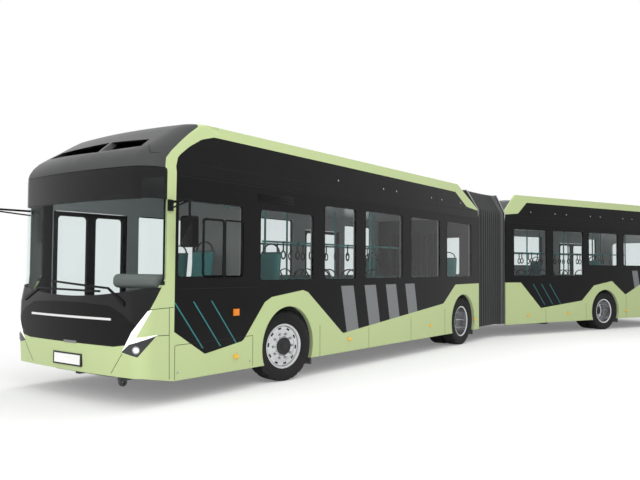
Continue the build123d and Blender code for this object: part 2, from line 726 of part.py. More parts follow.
def bellows_place(t):
    """Plane across the bellows at a share of its length, square to its curve."""
    bend = radians(BEND)
    span_x = PIVOT_X + (REAR_CAR_FRONT + SEAT_GAP) * cos(bend) - FRONT_CAR_END
    span_y = (REAR_CAR_FRONT + SEAT_GAP) * sin(bend)
    reach = hypot(span_x, span_y)
    start_pull = t**3 - 2 * t**2 + t
    end_pull = t**3 - t**2
    blend = 3 * t**2 - 2 * t**3
    x = FRONT_CAR_END + blend * span_x - reach * (start_pull + end_pull * cos(bend))
    y = blend * span_y - reach * end_pull * sin(bend)
    slope_blend = 6 * t - 6 * t**2
    dx = slope_blend * span_x - reach * (3 * t**2 - 4 * t + 1 + (3 * t**2 - 2 * t) * cos(bend))
    dy = slope_blend * span_y - reach * (3 * t**2 - 2 * t) * sin(bend)
    turn = atan2(-dy, -dx)
    return Plane(origin=(x, y, 0), x_dir=(-sin(turn), cos(turn), 0), z_dir=(cos(turn), sin(turn), 0))


def bellows_solid(inset, low):
    """Solid bellows down to a height, drawn in from its skin by the inset."""
    with BuildPart() as bellows:
        for i in range(2 * FOLDS + 1):
            depth = inset + (FOLD_DEPTH if i % 2 else 0)
            half = BELLOWS_HALF - depth
            top = BELLOWS_TOP - depth
            shoulder = (half, BELLOWS_SHOULDER_Z)
            crown = (half - BELLOWS_SHOULDER_IN, top)
            with BuildSketch(bellows_place(i / (2 * FOLDS))):
                with BuildLine():
                    Polyline(
                        (half, low),
                        shoulder,
                        crown,
                        (-crown[0], crown[1]),
                        (-shoulder[0], shoulder[1]),
                        (-half, low),
                        close=True,
                    )
                make_face()
        loft(ruled=True)
    return bellows.part


with BuildPart() as bellows:
    add(bellows_solid(0, BELLOWS_LOW_Z))
    add(bellows_solid(BELLOWS_SKIN, BELLOWS_LOW_Z - BELLOWS_SKIN), mode=Mode.SUBTRACT)
keep("bellows", bellows.part)

# Axles: low beams that pass under the floor and rise to the hubs
BEAM_Z = 178.0
BEAM_TOP_Z = 280.0
BEAM_HALF = 52.0
RISER_IN_Y = 740.0
RISER_OUT_Y = 815.0
EYE_HALF = 60.0
BOSS_R = 46.0
ARM_HALF_Z = 50.0
ARM_HALF_X = 36.0
SPRING_SEAT_R = 50.0
SPRING_SEAT_Y = 500.0
TWIN_BEAM_Z = 230.0
TWIN_RISER_IN_Y = 700.0
TWIN_RISER_OUT_Y = 765.0
TWIN_HUB_END_Y = 1020.0

with BuildPart() as front_axle:
    with BuildSketch(Plane.YZ.offset(-BEAM_HALF)):
        with Locations((0, (BEAM_Z + BEAM_TOP_Z) / 2)):
            Rectangle(2 * RISER_OUT_Y, BEAM_TOP_Z - BEAM_Z)
        for side in SIDES:
            with Locations((side * (RISER_IN_Y + RISER_OUT_Y) / 2, (BEAM_Z + TYRE_R + ARM_HALF_Z) / 2)):
                Rectangle(RISER_OUT_Y - RISER_IN_Y, TYRE_R + ARM_HALF_Z - BEAM_Z)
    extrude(amount=2 * BEAM_HALF)
    with BuildSketch(Plane.XY.offset(TYRE_R - ARM_HALF_Z)):
        for side in SIDES:
            with Locations((0, side * (RISER_OUT_Y + KINGPIN_Y) / 2)):
                Rectangle(2 * ARM_HALF_X, KINGPIN_Y - RISER_OUT_Y)
    extrude(amount=2 * ARM_HALF_Z)
    with BuildSketch(Plane.XY.offset(TYRE_R - EYE_HALF)):
        with Locations(*[(0, side * KINGPIN_Y) for side in SIDES]):
            Circle(BOSS_R)
    extrude(amount=2 * EYE_HALF)
    with BuildSketch(Plane.XY.offset(TYRE_R - EYE_HALF)):
        with Locations(*[(0, side * KINGPIN_Y) for side in SIDES]):
            Circle(KINGPIN_R + RUNNING_GAP)
    extrude(amount=2 * EYE_HALF, mode=Mode.SUBTRACT)
    with BuildSketch(Plane.XY.offset(BEAM_TOP_Z)):
        with Locations(*[(0, side * SPRING_SEAT_Y) for side in SIDES]):
            Circle(SPRING_SEAT_R)
    extrude(amount=FLOOR_UNDER_Z - BEAM_TOP_Z)
keep("front_axle", front_axle.part)


def twin_axle(axle_x):
    """Beam axle for twin wheels: it enters the wheels low and rises to the spindles inside them."""
    with BuildPart() as axle:
        with BuildSketch(Plane.YZ.offset(axle_x - BEAM_HALF)):
            with Locations((0, (TWIN_BEAM_Z + BEAM_TOP_Z) / 2)):
                Rectangle(2 * TWIN_RISER_OUT_Y, BEAM_TOP_Z - TWIN_BEAM_Z)
            for side in SIDES:
                with Locations(
                    (side * (TWIN_RISER_IN_Y + TWIN_RISER_OUT_Y) / 2, (TWIN_BEAM_Z + TYRE_R + TWIN_SPINDLE_R) / 2)
                ):
                    Rectangle(TWIN_RISER_OUT_Y - TWIN_RISER_IN_Y, TYRE_R + TWIN_SPINDLE_R - TWIN_BEAM_Z)
        extrude(amount=2 * BEAM_HALF)
        for side in SIDES:
            with BuildSketch(Plane.XZ.offset(-side * TWIN_RISER_OUT_Y)):
                with Locations((axle_x, TYRE_R)):
                    Circle(TWIN_SPINDLE_R)
            extrude(amount=-side * (TWIN_HUB_END_Y - TWIN_RISER_OUT_Y))
        with BuildSketch(Plane.XY.offset(BEAM_TOP_Z)):
            with Locations(*[(axle_x, side * SPRING_SEAT_Y) for side in SIDES]):
                Circle(SPRING_SEAT_R)
        extrude(amount=FLOOR_UNDER_Z - BEAM_TOP_Z)
    return axle.part


# Columns: rear X, front X, inner Y, outer Y, height
MOTOR_BOX = (-WHEELBASE + 710.0, -WHEELBASE + 1320.0, 660.0, 1200.0, 460.0)
with BuildPart() as drive_axle:
    add(twin_axle(-WHEELBASE))
    x0, x1, y0, y1, height = MOTOR_BOX
    with BuildSketch(Plane.XY.offset(FLOOR_Z)):
        with Locations(((x0 + x1) / 2, (y0 + y1) / 2)):
            Rectangle(x1 - x0, y1 - y0)
    extrude(amount=height)
keep("drive_axle", drive_axle.part)
keep("trailer_axle", twin_axle(TRAILER_AXLE_X), rear_place)

# Wheels, drawn about Y with the outer side towards +Y


def tyre_section(mid):
    """Cross-section of a tyre beside the wheel's axis, centred at a distance along it."""
    half = TYRE_WIDTH / 2
    tread = half - 27
    with BuildSketch() as section:
        with BuildLine():
            Line((BEAD_R, mid - half + 38), (BEAD_R + 26, mid - half + 26))
            ThreePointArc((BEAD_R + 26, mid - half + 26), (390, mid - half), (TYRE_R - 20, mid - half + 12))
            Line((TYRE_R - 20, mid - half + 12), (TYRE_R, mid - tread))
            Line((TYRE_R, mid - tread), (TYRE_R, mid + tread))
            Line((TYRE_R, mid + tread), (TYRE_R - 20, mid + half - 12))
            ThreePointArc((TYRE_R - 20, mid + half - 12), (390, mid + half), (BEAD_R + 26, mid + half - 26))
            Line((BEAD_R + 26, mid + half - 26), (BEAD_R, mid + half - 38))
            Line((BEAD_R, mid + half - 38), (BEAD_R, mid - half + 38))
        make_face()
    return section.sketch


def tyre(mids):
    """Tyre, or a pair of them, at distances along the wheel's axis."""
    with BuildPart() as ring:
        for mid in mids:
            revolve(tyre_section(mid), axis=Axis.Y)
    return ring.part


def rim(inner, outer, disc, hub_in, hub_out, bore):
    """Rim from its inner to its outer edge, with its disc and bored hub; all distances are along the axis."""
    seat = BEAD_R - SEAT_GAP
    lip = 20.0
    hub_r = 95.0
    disc_half = 9.0
    hollow = seat - RIM_BARREL
    with BuildPart() as wheel:
        with BuildSketch(Plane.XY):
            with BuildLine():
                Polyline(
                    (bore, hub_in),
                    (hub_r, hub_in),
                    (hub_r, disc - disc_half),
                    (hollow, disc - disc_half),
                    (hollow, inner),
                    (seat + lip, inner - 8),
                    (seat + lip, inner),
                    (seat, inner + 14),
                    (seat, outer - 14),
                    (seat + lip, outer),
                    (seat + lip, outer + 8),
                    (hollow, outer),
                    (hollow, disc + disc_half),
                    (hub_r, disc + disc_half),
                    (hub_r, hub_out),
                    (0, hub_out),
                    (0, hub_out - 20),
                    (bore, hub_out - 20),
                    close=True,
                )
            make_face()
        revolve(axis=Axis.Y)
        with BuildSketch(Plane.XZ.offset(-disc - disc_half - 1)):
            with PolarLocations((hub_r + hollow) / 2 + 22, NUTS, start_angle=180 / NUTS):
                SlotOverall(62, 30)
        extrude(amount=2 * disc_half + 2, mode=Mode.SUBTRACT)
        with BuildSketch(Plane.XZ.offset(-disc - disc_half)):
            with PolarLocations(hub_r + 42, NUTS):
                Circle(15)
        extrude(amount=-26)
    return wheel.part


BEAD_HALF = TYRE_WIDTH / 2 - 38
STEER_MID = TYRE_MID_Y - KINGPIN_Y
twin_mids = (0.0, -TWIN_PITCH)
steered_tyre = tyre((STEER_MID,))
steered_rim = rim(
    STEER_MID - BEAD_HALF - 14,
    STEER_MID + BEAD_HALF + 14,
    STEER_MID + 62,
    STEER_MID + 32,
    STEER_MID + 118,
    SPINDLE_R + SEAT_GAP,
)
twin_tyre = tyre(twin_mids)
twin_rim = rim(
    -TWIN_PITCH - BEAD_HALF - 14,
    BEAD_HALF + 14,
    -TWIN_PITCH / 2 + 8,
    -TWIN_PITCH / 2 - 110,
    TWIN_HUB_END_Y - TYRE_MID_Y + 24,
    TWIN_SPINDLE_R + SEAT_GAP,
)

# Steering knuckles: a fork over the axle's eye, with the kingpin through it and the spindle outside
FORK_GAP = 1.0
FORK_THICK = 36.0
FORK_R = 50.0
WEB_IN = 62.0
WEB_OUT = 84.0
with BuildPart() as knuckle:
    for level in SIDES:
        with BuildSketch(Plane.XY.offset(level * (EYE_HALF + FORK_GAP))):
            Circle(FORK_R)
            with Locations((0, WEB_OUT / 2)):
                Rectangle(2 * FORK_R, WEB_OUT)
        extrude(amount=level * FORK_THICK)
    with BuildSketch(Plane.XZ.offset(-WEB_IN)):
        Rectangle(2 * FORK_R, 2 * (EYE_HALF + FORK_GAP + FORK_THICK))
    extrude(amount=WEB_IN - WEB_OUT)
    with BuildSketch(Plane.XY.offset(-EYE_HALF - FORK_GAP)):
        Circle(KINGPIN_R)
    extrude(amount=2 * (EYE_HALF + FORK_GAP))
    with BuildSketch(Plane.XZ.offset(-WEB_OUT)):
        Circle(SPINDLE_R)
    extrude(amount=WEB_OUT - STEER_MID - 96)

for side, hand in zip(SIDES, ("left", "right")):
    half_turn = 0 if side > 0 else 180
    steered = Location((0, side * KINGPIN_Y, TYRE_R), (0, 0, STEER + half_turn))
    driven = Location((-WHEELBASE, side * TYRE_MID_Y, TYRE_R), (0, 0, half_turn))
    trailing = rear_place * Location((TRAILER_AXLE_X, side * TYRE_MID_Y, TYRE_R), (0, 0, half_turn))
    keep(f"knuckle_{hand}", knuckle.part, steered)
    keep(f"front_tyre_{hand}", steered_tyre, steered)
    keep(f"front_rim_{hand}", steered_rim, steered)
    keep(f"drive_tyres_{hand}", twin_tyre, driven)
    keep(f"drive_rims_{hand}", twin_rim, driven)
    keep(f"trailer_tyres_{hand}", twin_tyre, trailing)
    keep(f"trailer_rims_{hand}", twin_rim, trailing)

# Door leaves and their glass


def leaf_span(centre, forward):
    """Rear and front edge of one closed leaf of a doorway."""
    rear, front = doorway_edges(centre)
    if forward:
        return front - LEAF_EDGE_GAP - LEAF_LENGTH, front - LEAF_EDGE_GAP
    return rear + LEAF_EDGE_GAP, rear + LEAF_EDGE_GAP + LEAF_LENGTH


def leaf_window(x0, x1, margin, mode=Mode.ADD):
    """Draws the window of a leaf, grown by a margin."""
    z0 = SILL_Z + LEAF_END_GAP + LEAF_KICK
    z1 = DOOR_HEAD_Z - LEAF_END_GAP - LEAF_BORDER
    width = x1 - x0 - 2 * LEAF_BORDER
    with Locations(((x0 + x1) / 2, (z0 + z1) / 2)):
        RectangleRounded(width + 2 * margin, z1 - z0 + 2 * margin, WINDOW_CORNER, mode=mode)


def door_leaf(centre, forward):
    """Frame of one leaf, with the two pins that it swings on."""
    x0, x1 = leaf_span(centre, forward)
    axis_x = hinge_lines(centre)[1 if forward else 0]
    z0 = SILL_Z + LEAF_END_GAP
    z1 = DOOR_HEAD_Z - LEAF_END_GAP
    with BuildPart() as leaf:
        with BuildSketch(Plane.XZ.offset(HALF_WIDTH)):
            with Locations(((x0 + x1) / 2, (z0 + z1) / 2)):
                Rectangle(x1 - x0, z1 - z0)
            leaf_window(x0, x1, SEAT_GAP, Mode.SUBTRACT)
        extrude(amount=-LEAF_THICK)
        with BuildSketch(Plane.XY.offset(z0)):
            with Locations((axis_x, LEAF_MID_Y)):
                Circle(LEAF_PIN_R)
        extrude(amount=-LEAF_PIN_LENGTH)
        with BuildSketch(Plane.XY.offset(z1)):
            with Locations((axis_x, LEAF_MID_Y)):
                Circle(LEAF_PIN_R)
        extrude(amount=LEAF_PIN_LENGTH)
    return leaf.part


def door_pane(centre, forward):
    """Glass of one leaf."""
    with BuildPart() as pane:
        with BuildSketch(Plane.XZ.offset(-LEAF_MID_Y + LEAF_GLASS / 2)):
            leaf_window(*leaf_span(centre, forward), 0)
        extrude(amount=-LEAF_GLASS)
    return pane.part


DOORS = (  # columns: name, centre X, place of its car
    ("front_door", FRONT_DOOR_X, Location()),
    ("middle_door", MIDDLE_DOOR_X, Location()),
    ("rear_door", REAR_DOOR_X, rear_place),
)
for door, centre, place in DOORS:
    for leaf, forward in (("a", True), ("b", False)):
        keep(f"{door}_{leaf}", door_leaf(centre, forward), place)
        keep(f"{door}_glass_{leaf}", door_pane(centre, forward), place)

# Seats: pairs on one foot, cushion and back apart
SEAT_IN_Y = 385.0
SEAT_OUT_Y = 1190.0
SEAT_H = 430.0
SEAT_BACK_H = 1010.0
SEAT_PITCH = 0.1327 * WHEELBASE
FIRST_SEAT_X = -850.0
FRONT_SEATS = (  # columns: X, inner Y, outer Y, side
    (FIRST_SEAT_X, SEAT_IN_Y, SEAT_OUT_Y, 1),
    (FIRST_SEAT_X - SEAT_PITCH, SEAT_IN_Y, SEAT_OUT_Y, 1),
    (FIRST_SEAT_X - 2 * SEAT_PITCH, SEAT_IN_Y, SEAT_OUT_Y, 1),
    (FIRST_SEAT_X - 3 * SEAT_PITCH, SEAT_IN_Y, SEAT_OUT_Y, 1),
    (FIRST_SEAT_X - 4 * SEAT_PITCH, SEAT_IN_Y, SEAT_OUT_Y, 1),
    (FIRST_SEAT_X, SEAT_IN_Y, SEAT_OUT_Y, -1),
    (FIRST_SEAT_X - SEAT_PITCH, SEAT_IN_Y, SEAT_OUT_Y, -1),
    (FIRST_SEAT_X - 2 * SEAT_PITCH, SEAT_IN_Y, SEAT_OUT_Y, -1),
    (FIRST_SEAT_X - 2.93 * SEAT_PITCH, SEAT_IN_Y, SEAT_OUT_Y, -1),
    (1380.0, 480.0, 960.0, 1),
)
REAR_SEATS = (
    (-1000.0, SEAT_IN_Y, SEAT_OUT_Y, 1),
    (-1750.0, SEAT_IN_Y, SEAT_OUT_Y, 1),
    (-2500.0, SEAT_IN_Y, SEAT_OUT_Y, 1),
    (-3170.0, SEAT_IN_Y, SEAT_OUT_Y, 1),
    (-5050.0, SEAT_IN_Y, SEAT_OUT_Y, 1),
    (-5800.0, SEAT_IN_Y, SEAT_OUT_Y, 1),
    (-6550.0, SEAT_IN_Y, SEAT_OUT_Y, 1),
    (-1000.0, SEAT_IN_Y, SEAT_OUT_Y, -1),
    (-1750.0, SEAT_IN_Y, SEAT_OUT_Y, -1),
    (-2500.0, SEAT_IN_Y, SEAT_OUT_Y, -1),
    (-3170.0, SEAT_IN_Y, SEAT_OUT_Y, -1),
    (-7050.0, 15.0, 1100.0, 1),
    (-7050.0, 15.0, 1100.0, -1),
)


def seats(rows):
    """Seats of one car, facing forwards."""
    with BuildPart() as bench:
        for x, y0, y1, side in rows:
            with BuildSketch(Plane.XZ.offset(-side * y0)):
                with BuildLine():
                    Polyline(
                        (x - 70, FLOOR_Z),
                        (x + 60, FLOOR_Z),
                        (x + 40, FLOOR_Z + SEAT_H - 70),
                        (x + 210, FLOOR_Z + SEAT_H - 60),
                        (x + 225, FLOOR_Z + SEAT_H + 10),
                        (x - 205, FLOOR_Z + SEAT_H - 10),
                        (x - 205, FLOOR_Z + SEAT_H - 80),
                        (x - 90, FLOOR_Z + SEAT_H - 75),
                        close=True,
                    )
                make_face()
                with BuildLine():
                    Polyline(
                        (x - 205 - SEAT_GAP, FLOOR_Z + SEAT_H - 80),
                        (x - 205 - SEAT_GAP, FLOOR_Z + SEAT_H + 10),
                        (x - 262, FLOOR_Z + SEAT_BACK_H),
                        (x - 300, FLOOR_Z + SEAT_BACK_H),
                        (x - 250, FLOOR_Z + SEAT_H - 80),
                        close=True,
                    )
                make_face()
            extrude(amount=-side * (y1 - y0))
    return bench.part


keep("front_seats", seats(FRONT_SEATS))
keep("rear_seats", seats(REAR_SEATS), rear_place)

# Grab poles from floor to ceiling, and rails between them
POLE_R = 17.0
POLE_Y = 400.0
RAIL_R = 15.0
HAND_RAIL_Z = 1960.0
FRONT_POLES = (-480.0, -0.3496 * WHEELBASE, -0.6106 * WHEELBASE, -0.8637 * WHEELBASE)
REAR_POLES = (-620.0, -2150.0, -3560.0, -4760.0, -6225.0)


def grab_poles(stations):
    """Poles at stations along both sides of an aisle, with a rail past them on each side."""
    rail_y = POLE_Y - POLE_R - RAIL_R - SEAT_GAP
    with BuildPart() as poles:
        with BuildSketch(Plane.XY.offset(FLOOR_Z)):
            with Locations(*[(x, side * POLE_Y) for x in stations for side in SIDES]):
                Circle(POLE_R)
        extrude(amount=CANT_Z - FLOOR_Z)
        with BuildSketch(Plane.YZ.offset(min(stations) - POLE_R)):
            with Locations(*[(side * rail_y, HAND_RAIL_Z) for side in SIDES]):
                Circle(RAIL_R)
        extrude(amount=max(stations) - min(stations) + 2 * POLE_R)
    return poles.part


keep("front_rails", grab_poles(FRONT_POLES))
keep("rear_rails", grab_poles(REAR_POLES), rear_place)

# Driver's place: dashboard, steering wheel on its column, and the screen behind the seat
DASH_TOP_Z = 1020.0
WHEEL_CENTRE = (1790.0, 720.0, 1130.0)
WHEEL_R = 225.0
WHEEL_TUBE_R = 17.0
COLUMN_TILT = 28.0
SCREEN_X = 830.0
with BuildPart() as driver_cab:
    with BuildSketch(Plane.XY.offset(FLOOR_Z)):
        with BuildLine():
            Polyline(
                (1960.0, 180.0),
                (2360.0, 180.0),
                (2360.0, 880.0),
                (2250.0, 1050.0),
                (2060.0, 1180.0),
                (1960.0, 1180.0),
                close=True,
            )
        make_face()
    extrude(amount=DASH_TOP_Z - FLOOR_Z)
    with BuildSketch(Plane.YZ.offset(SCREEN_X)):
        with Locations(((SEAT_IN_Y + SEAT_OUT_Y) / 2, (FLOOR_Z + LOW_HEAD) / 2)):
            Rectangle(SEAT_OUT_Y - SEAT_IN_Y, LOW_HEAD - FLOOR_Z)
    extrude(amount=30)
    wheel_plane = Plane(origin=WHEEL_CENTRE, z_dir=(-sin(radians(COLUMN_TILT)), 0, cos(radians(COLUMN_TILT))))
    with Locations(wheel_plane):
        Torus(WHEEL_R, WHEEL_TUBE_R)
    with BuildSketch(wheel_plane):
        Rectangle(2 * WHEEL_R, 40)
    extrude(amount=14)
    with BuildSketch(wheel_plane):
        Circle(36)
    extrude(amount=-420)
keep("driver_cab", driver_cab.part)

# Roof equipment: battery packs, climate unit and charging contact bars, between the fairings
PACK_HALF = 1020.0
PACK_TOP_Z = 3220.0
FRONT_PACKS = (  # columns: rear X, front X, top Z
    (-0.9381 * WHEELBASE, -0.6903 * WHEELBASE, PACK_TOP_Z),
    (-0.6637 * WHEELBASE, -0.4159 * WHEELBASE, PACK_TOP_Z),
    (-0.3894 * WHEELBASE, -0.1416 * WHEELBASE, PACK_TOP_Z),
    (-450.0, 1150.0, PACK_TOP_Z),
)
REAR_PACKS = (
    (-2600.0, -1100.0, PACK_TOP_Z),
    (-4300.0, -2750.0, PACK_TOP_Z),
    (-6600.0, -4700.0, PACK_TOP_Z),
)


def roof_packs(rows):
    """Closed boxes that stand on the roof."""
    with BuildPart() as packs:
        for x0, x1, top in rows:
            with BuildSketch(Plane.XY.offset(CANT_Z + ROOF_THICK)):
                with Locations(((x0 + x1) / 2, 0)):
                    RectangleRounded(x1 - x0, 2 * PACK_HALF, 60)
            extrude(amount=top - CANT_Z - ROOF_THICK)
    return packs.part


keep("front_roof_packs", roof_packs(FRONT_PACKS))
keep("rear_roof_packs", roof_packs(REAR_PACKS), rear_place)

# Mirrors: each head hangs from a braced arm on the windscreen pillar
MIRROR_ROOT_X = 2150.0
MIRROR_ROOT_Z = 2300.0
MIRROR_ARM_R = 14.0
MIRROR_HEAD = (90.0, 200.0, 350.0)
MIRROR_ROUND = 35.0
LEFT_HEAD = (2110.0, HALF_WIDTH + 285.0, 1960.0)
RIGHT_HEAD = (2850.0, -HALF_WIDTH - 365.0, 2060.0)
MIRROR_STUB = 70.0
BRACE_DROP = 75.0
FOOT_SIZE = (70.0, 24.0, 130.0)
mirror_root_y = HALF_WIDTH + SEAT_GAP
with BuildPart() as mirrors:
    for side, (x, y, z) in zip(SIDES, (LEFT_HEAD, RIGHT_HEAD)):
        root = (MIRROR_ROOT_X, side * mirror_root_y, MIRROR_ROOT_Z)
        stub = (MIRROR_ROOT_X, side * (mirror_root_y + MIRROR_STUB), MIRROR_ROOT_Z)
        knee = (x, y, MIRROR_ROOT_Z + 20)
        top = (x, y, z + MIRROR_HEAD[2] / 2 - 20)
        with BuildLine() as arm:
            FilletPolyline(root, stub, knee, top, radius=40)
        with BuildSketch(Plane(origin=root, z_dir=arm.line % 0)):
            Circle(MIRROR_ARM_R)
        sweep(path=arm.line)
        low_root = (MIRROR_ROOT_X, side * (mirror_root_y + FOOT_SIZE[1] / 2), MIRROR_ROOT_Z - BRACE_DROP)
        with BuildLine() as brace:
            Line(low_root, (x, y, MIRROR_ROOT_Z + 10))
        with BuildSketch(Plane(origin=low_root, z_dir=brace.line % 0)):
            Circle(MIRROR_ARM_R * 0.7)
        sweep(path=brace.line)
        with Locations((MIRROR_ROOT_X, root[1] + side * FOOT_SIZE[1] / 2, MIRROR_ROOT_Z - BRACE_DROP / 2)):
            Box(*FOOT_SIZE)
        with BuildSketch(Plane.YZ.offset(x - MIRROR_HEAD[0] / 2)):
            with Locations((y, z)):
                RectangleRounded(MIRROR_HEAD[1], MIRROR_HEAD[2], MIRROR_ROUND)
        extrude(amount=MIRROR_HEAD[0])
keep("mirrors", mirrors.part)

# Wipers: two cranked arms parked along the foot of the windscreen, each with its blade
# Columns: pivot Y, elbow Y and tip Y, elbow Z and tip Z
WIPER_STAND_OFF = 16.0
WIPER_PIVOT_Z = LID_TOP_Z - 20
WIPER_ARM = 24.0
WIPERS = (
    (1010.0, 740.0, -320.0, 1310.0, 1375.0),
    (-1000.0, -640.0, 610.0, 1285.0, 1272.0),
)
with BuildPart() as wipers:
    for pivot_y, elbow_y, tip_y, elbow_z, tip_z in WIPERS:
        with BuildSketch(Plane.YZ.offset(NOSE_X - 300)):
            with BuildLine():
                Polyline(
                    (pivot_y, WIPER_PIVOT_Z),
                    (elbow_y, elbow_z),
                    (tip_y, tip_z),
                    (tip_y, tip_z + WIPER_ARM),
                    (elbow_y, elbow_z + WIPER_ARM),
                    (pivot_y, WIPER_PIVOT_Z + 2 * WIPER_ARM),
                    close=True,
                )
            make_face()
        extrude(amount=400)
    add(nose_solid(-WIPER_STAND_OFF), mode=Mode.INTERSECT)
    add(nose_solid(-SEAT_GAP), mode=Mode.SUBTRACT)
keep("wipers", wipers.part)

# The finished bus stands on the road with its origin under the middle of its box
boxes = [piece.bounding_box() for piece in pieces.values()]
middle_x = (min(box.min.X for box in boxes) + max(box.max.X for box in boxes)) / 2
middle_y = (min(box.min.Y for box in boxes) + max(box.max.Y for box in boxes)) / 2
for name, piece in pieces.items():
    placed = piece.moved(Location((-middle_x, -middle_y, 0)))
    placed.label = name
    export_step(placed, f"parts/{name}.step")
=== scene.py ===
"""Looks of an articulated electric city bus, laid over its CAD frame."""

import json
import logging
import math
from collections.abc import Callable, Sequence
from dataclasses import dataclass
from enum import Enum

import bmesh
import bpy
from mathutils import Matrix, Vector
from mathutils.bvhtree import BVHTree
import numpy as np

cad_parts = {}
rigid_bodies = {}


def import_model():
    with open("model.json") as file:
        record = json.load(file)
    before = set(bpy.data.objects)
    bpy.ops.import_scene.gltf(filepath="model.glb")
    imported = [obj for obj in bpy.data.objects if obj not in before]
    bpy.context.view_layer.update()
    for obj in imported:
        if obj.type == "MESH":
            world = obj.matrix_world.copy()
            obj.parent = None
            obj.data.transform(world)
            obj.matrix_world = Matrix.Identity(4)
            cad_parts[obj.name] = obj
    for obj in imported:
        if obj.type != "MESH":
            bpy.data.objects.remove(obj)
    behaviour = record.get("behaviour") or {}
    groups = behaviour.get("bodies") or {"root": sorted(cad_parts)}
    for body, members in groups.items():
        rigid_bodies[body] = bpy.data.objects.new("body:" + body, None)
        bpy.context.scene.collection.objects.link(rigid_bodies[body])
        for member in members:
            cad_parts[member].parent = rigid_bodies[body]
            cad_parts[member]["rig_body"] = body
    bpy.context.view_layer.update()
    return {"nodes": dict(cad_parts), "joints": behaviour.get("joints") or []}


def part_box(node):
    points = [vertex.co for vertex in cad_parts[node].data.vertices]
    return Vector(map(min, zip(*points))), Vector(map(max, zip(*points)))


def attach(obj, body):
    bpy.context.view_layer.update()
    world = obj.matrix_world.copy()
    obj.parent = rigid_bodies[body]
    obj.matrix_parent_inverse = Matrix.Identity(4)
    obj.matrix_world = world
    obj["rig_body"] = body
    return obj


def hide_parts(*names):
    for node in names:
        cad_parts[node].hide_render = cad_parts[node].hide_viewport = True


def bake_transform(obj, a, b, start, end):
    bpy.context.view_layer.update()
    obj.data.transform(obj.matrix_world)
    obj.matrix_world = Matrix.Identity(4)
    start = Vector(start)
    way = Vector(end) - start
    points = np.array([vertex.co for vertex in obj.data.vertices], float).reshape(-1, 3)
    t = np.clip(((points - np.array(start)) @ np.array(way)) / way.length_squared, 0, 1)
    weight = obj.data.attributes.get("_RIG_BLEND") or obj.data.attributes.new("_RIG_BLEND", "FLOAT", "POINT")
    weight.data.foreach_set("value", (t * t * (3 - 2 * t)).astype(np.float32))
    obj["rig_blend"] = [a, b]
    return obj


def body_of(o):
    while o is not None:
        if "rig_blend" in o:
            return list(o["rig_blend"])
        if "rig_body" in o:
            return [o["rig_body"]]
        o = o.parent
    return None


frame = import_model()

log = logging.getLogger("articulated_bus")

Point = tuple[float, float, float]
Edge = Sequence[tuple[float, float]]
SeatRow = tuple[float, float, float, int]
Window = tuple[float, float, float, float]
Socket = bpy.types.NodeSocket
Piece = bpy.types.Object
FaceTest = Callable[[bmesh.types.BMFace], bool]

HALF_WIDTH = 1.275
CANT_Z = 2.64
LEAN = 0.098 / 0.66
LINING = 0.053
SIDES = (1, -1)
# Angle from which an edge counts as sharp
SHARP = math.radians(40.0)


class Paint(Enum):
    """Colours of the bus, as linear RGBA."""

    GREEN = (0.485, 0.578, 0.292, 1.0)
    BLACK = (0.0066, 0.0067, 0.0070, 1.0)
    DOME = (0.062, 0.063, 0.064, 1.0)
    GREY_BAR = (0.190, 0.196, 0.203, 1.0)
    TEAL_LINE = (0.035, 0.190, 0.195, 1.0)
    ROOF = (0.24, 0.25, 0.26, 1.0)
    CEILING = (0.50, 0.52, 0.52, 1.0)
    CHASSIS = (0.012, 0.012, 0.013, 1.0)
    RUBBER = (0.0085, 0.0085, 0.009, 1.0)
    ALLOY = (0.60, 0.61, 0.62, 1.0)
    STEEL = (0.42, 0.43, 0.44, 1.0)
    TEAL = (0.028, 0.205, 0.200, 1.0)
    SHELL = (0.040, 0.090, 0.090, 1.0)
    POLE = (0.055, 0.330, 0.310, 1.0)
    FLOOR = (0.090, 0.095, 0.098, 1.0)
    CAB = (0.19, 0.20, 0.197, 1.0)
    FABRIC = (0.0105, 0.0108, 0.0115, 1.0)
    # Painted highlight on the bellows' fold ridges
    FOLD = (0.26, 0.265, 0.27, 1.0)
    AMBER = (0.80, 0.22, 0.008, 1.0)
    PALE_AMBER = (0.82, 0.50, 0.06, 1.0)
    RED = (0.55, 0.01, 0.008, 1.0)
    WHITE = (0.85, 0.85, 0.84, 1.0)
    SEAM = (0.0055, 0.0060, 0.0050, 1.0)
    DASH = (0.20, 0.21, 0.20, 1.0)
    DUST = (0.30, 0.295, 0.28, 1.0)


@dataclass(frozen=True)
class Car:
    """Frame of one car of the bus inside the row frame."""

    origin: Vector
    turn: float

    def place(self) -> Matrix:
        """Gives the car's placement."""
        return Matrix.Translation(self.origin) @ Matrix.Rotation(self.turn, 4, "Z")

    def point(self, at: Sequence[float]) -> Vector:
        """Moves a point to the row frame."""
        return self.place() @ Vector(at)


def joint(name: str) -> dict:
    """Finds a joint of the frame."""
    return next(j for j in frame["joints"] if j["name"] == name)


def middle(node: str) -> Vector:
    """Finds the centre of a CAD node's box."""
    low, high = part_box(node)
    return (low + high) / 2


def find_cars() -> tuple[Car, Car]:
    """Works out both cars' frames from the wheels and the joints.

    Returns:
        The front car, with its origin on the road under the front axle, and the rear car, with its origin
        on the road under the pivot.
    """
    axle = (middle("front_tyre_left") + middle("front_tyre_right")) / 2
    pivot = Vector(joint("articulation")["pos_m"])
    spin = joint("trailer_wheel_spin_left")["axis"]
    turn = math.atan2(-spin[0], spin[1])
    return Car(Vector((axle.x, axle.y, 0)), 0.0), Car(Vector((pivot.x, pivot.y, 0)), turn)


FRONT, REAR = find_cars()


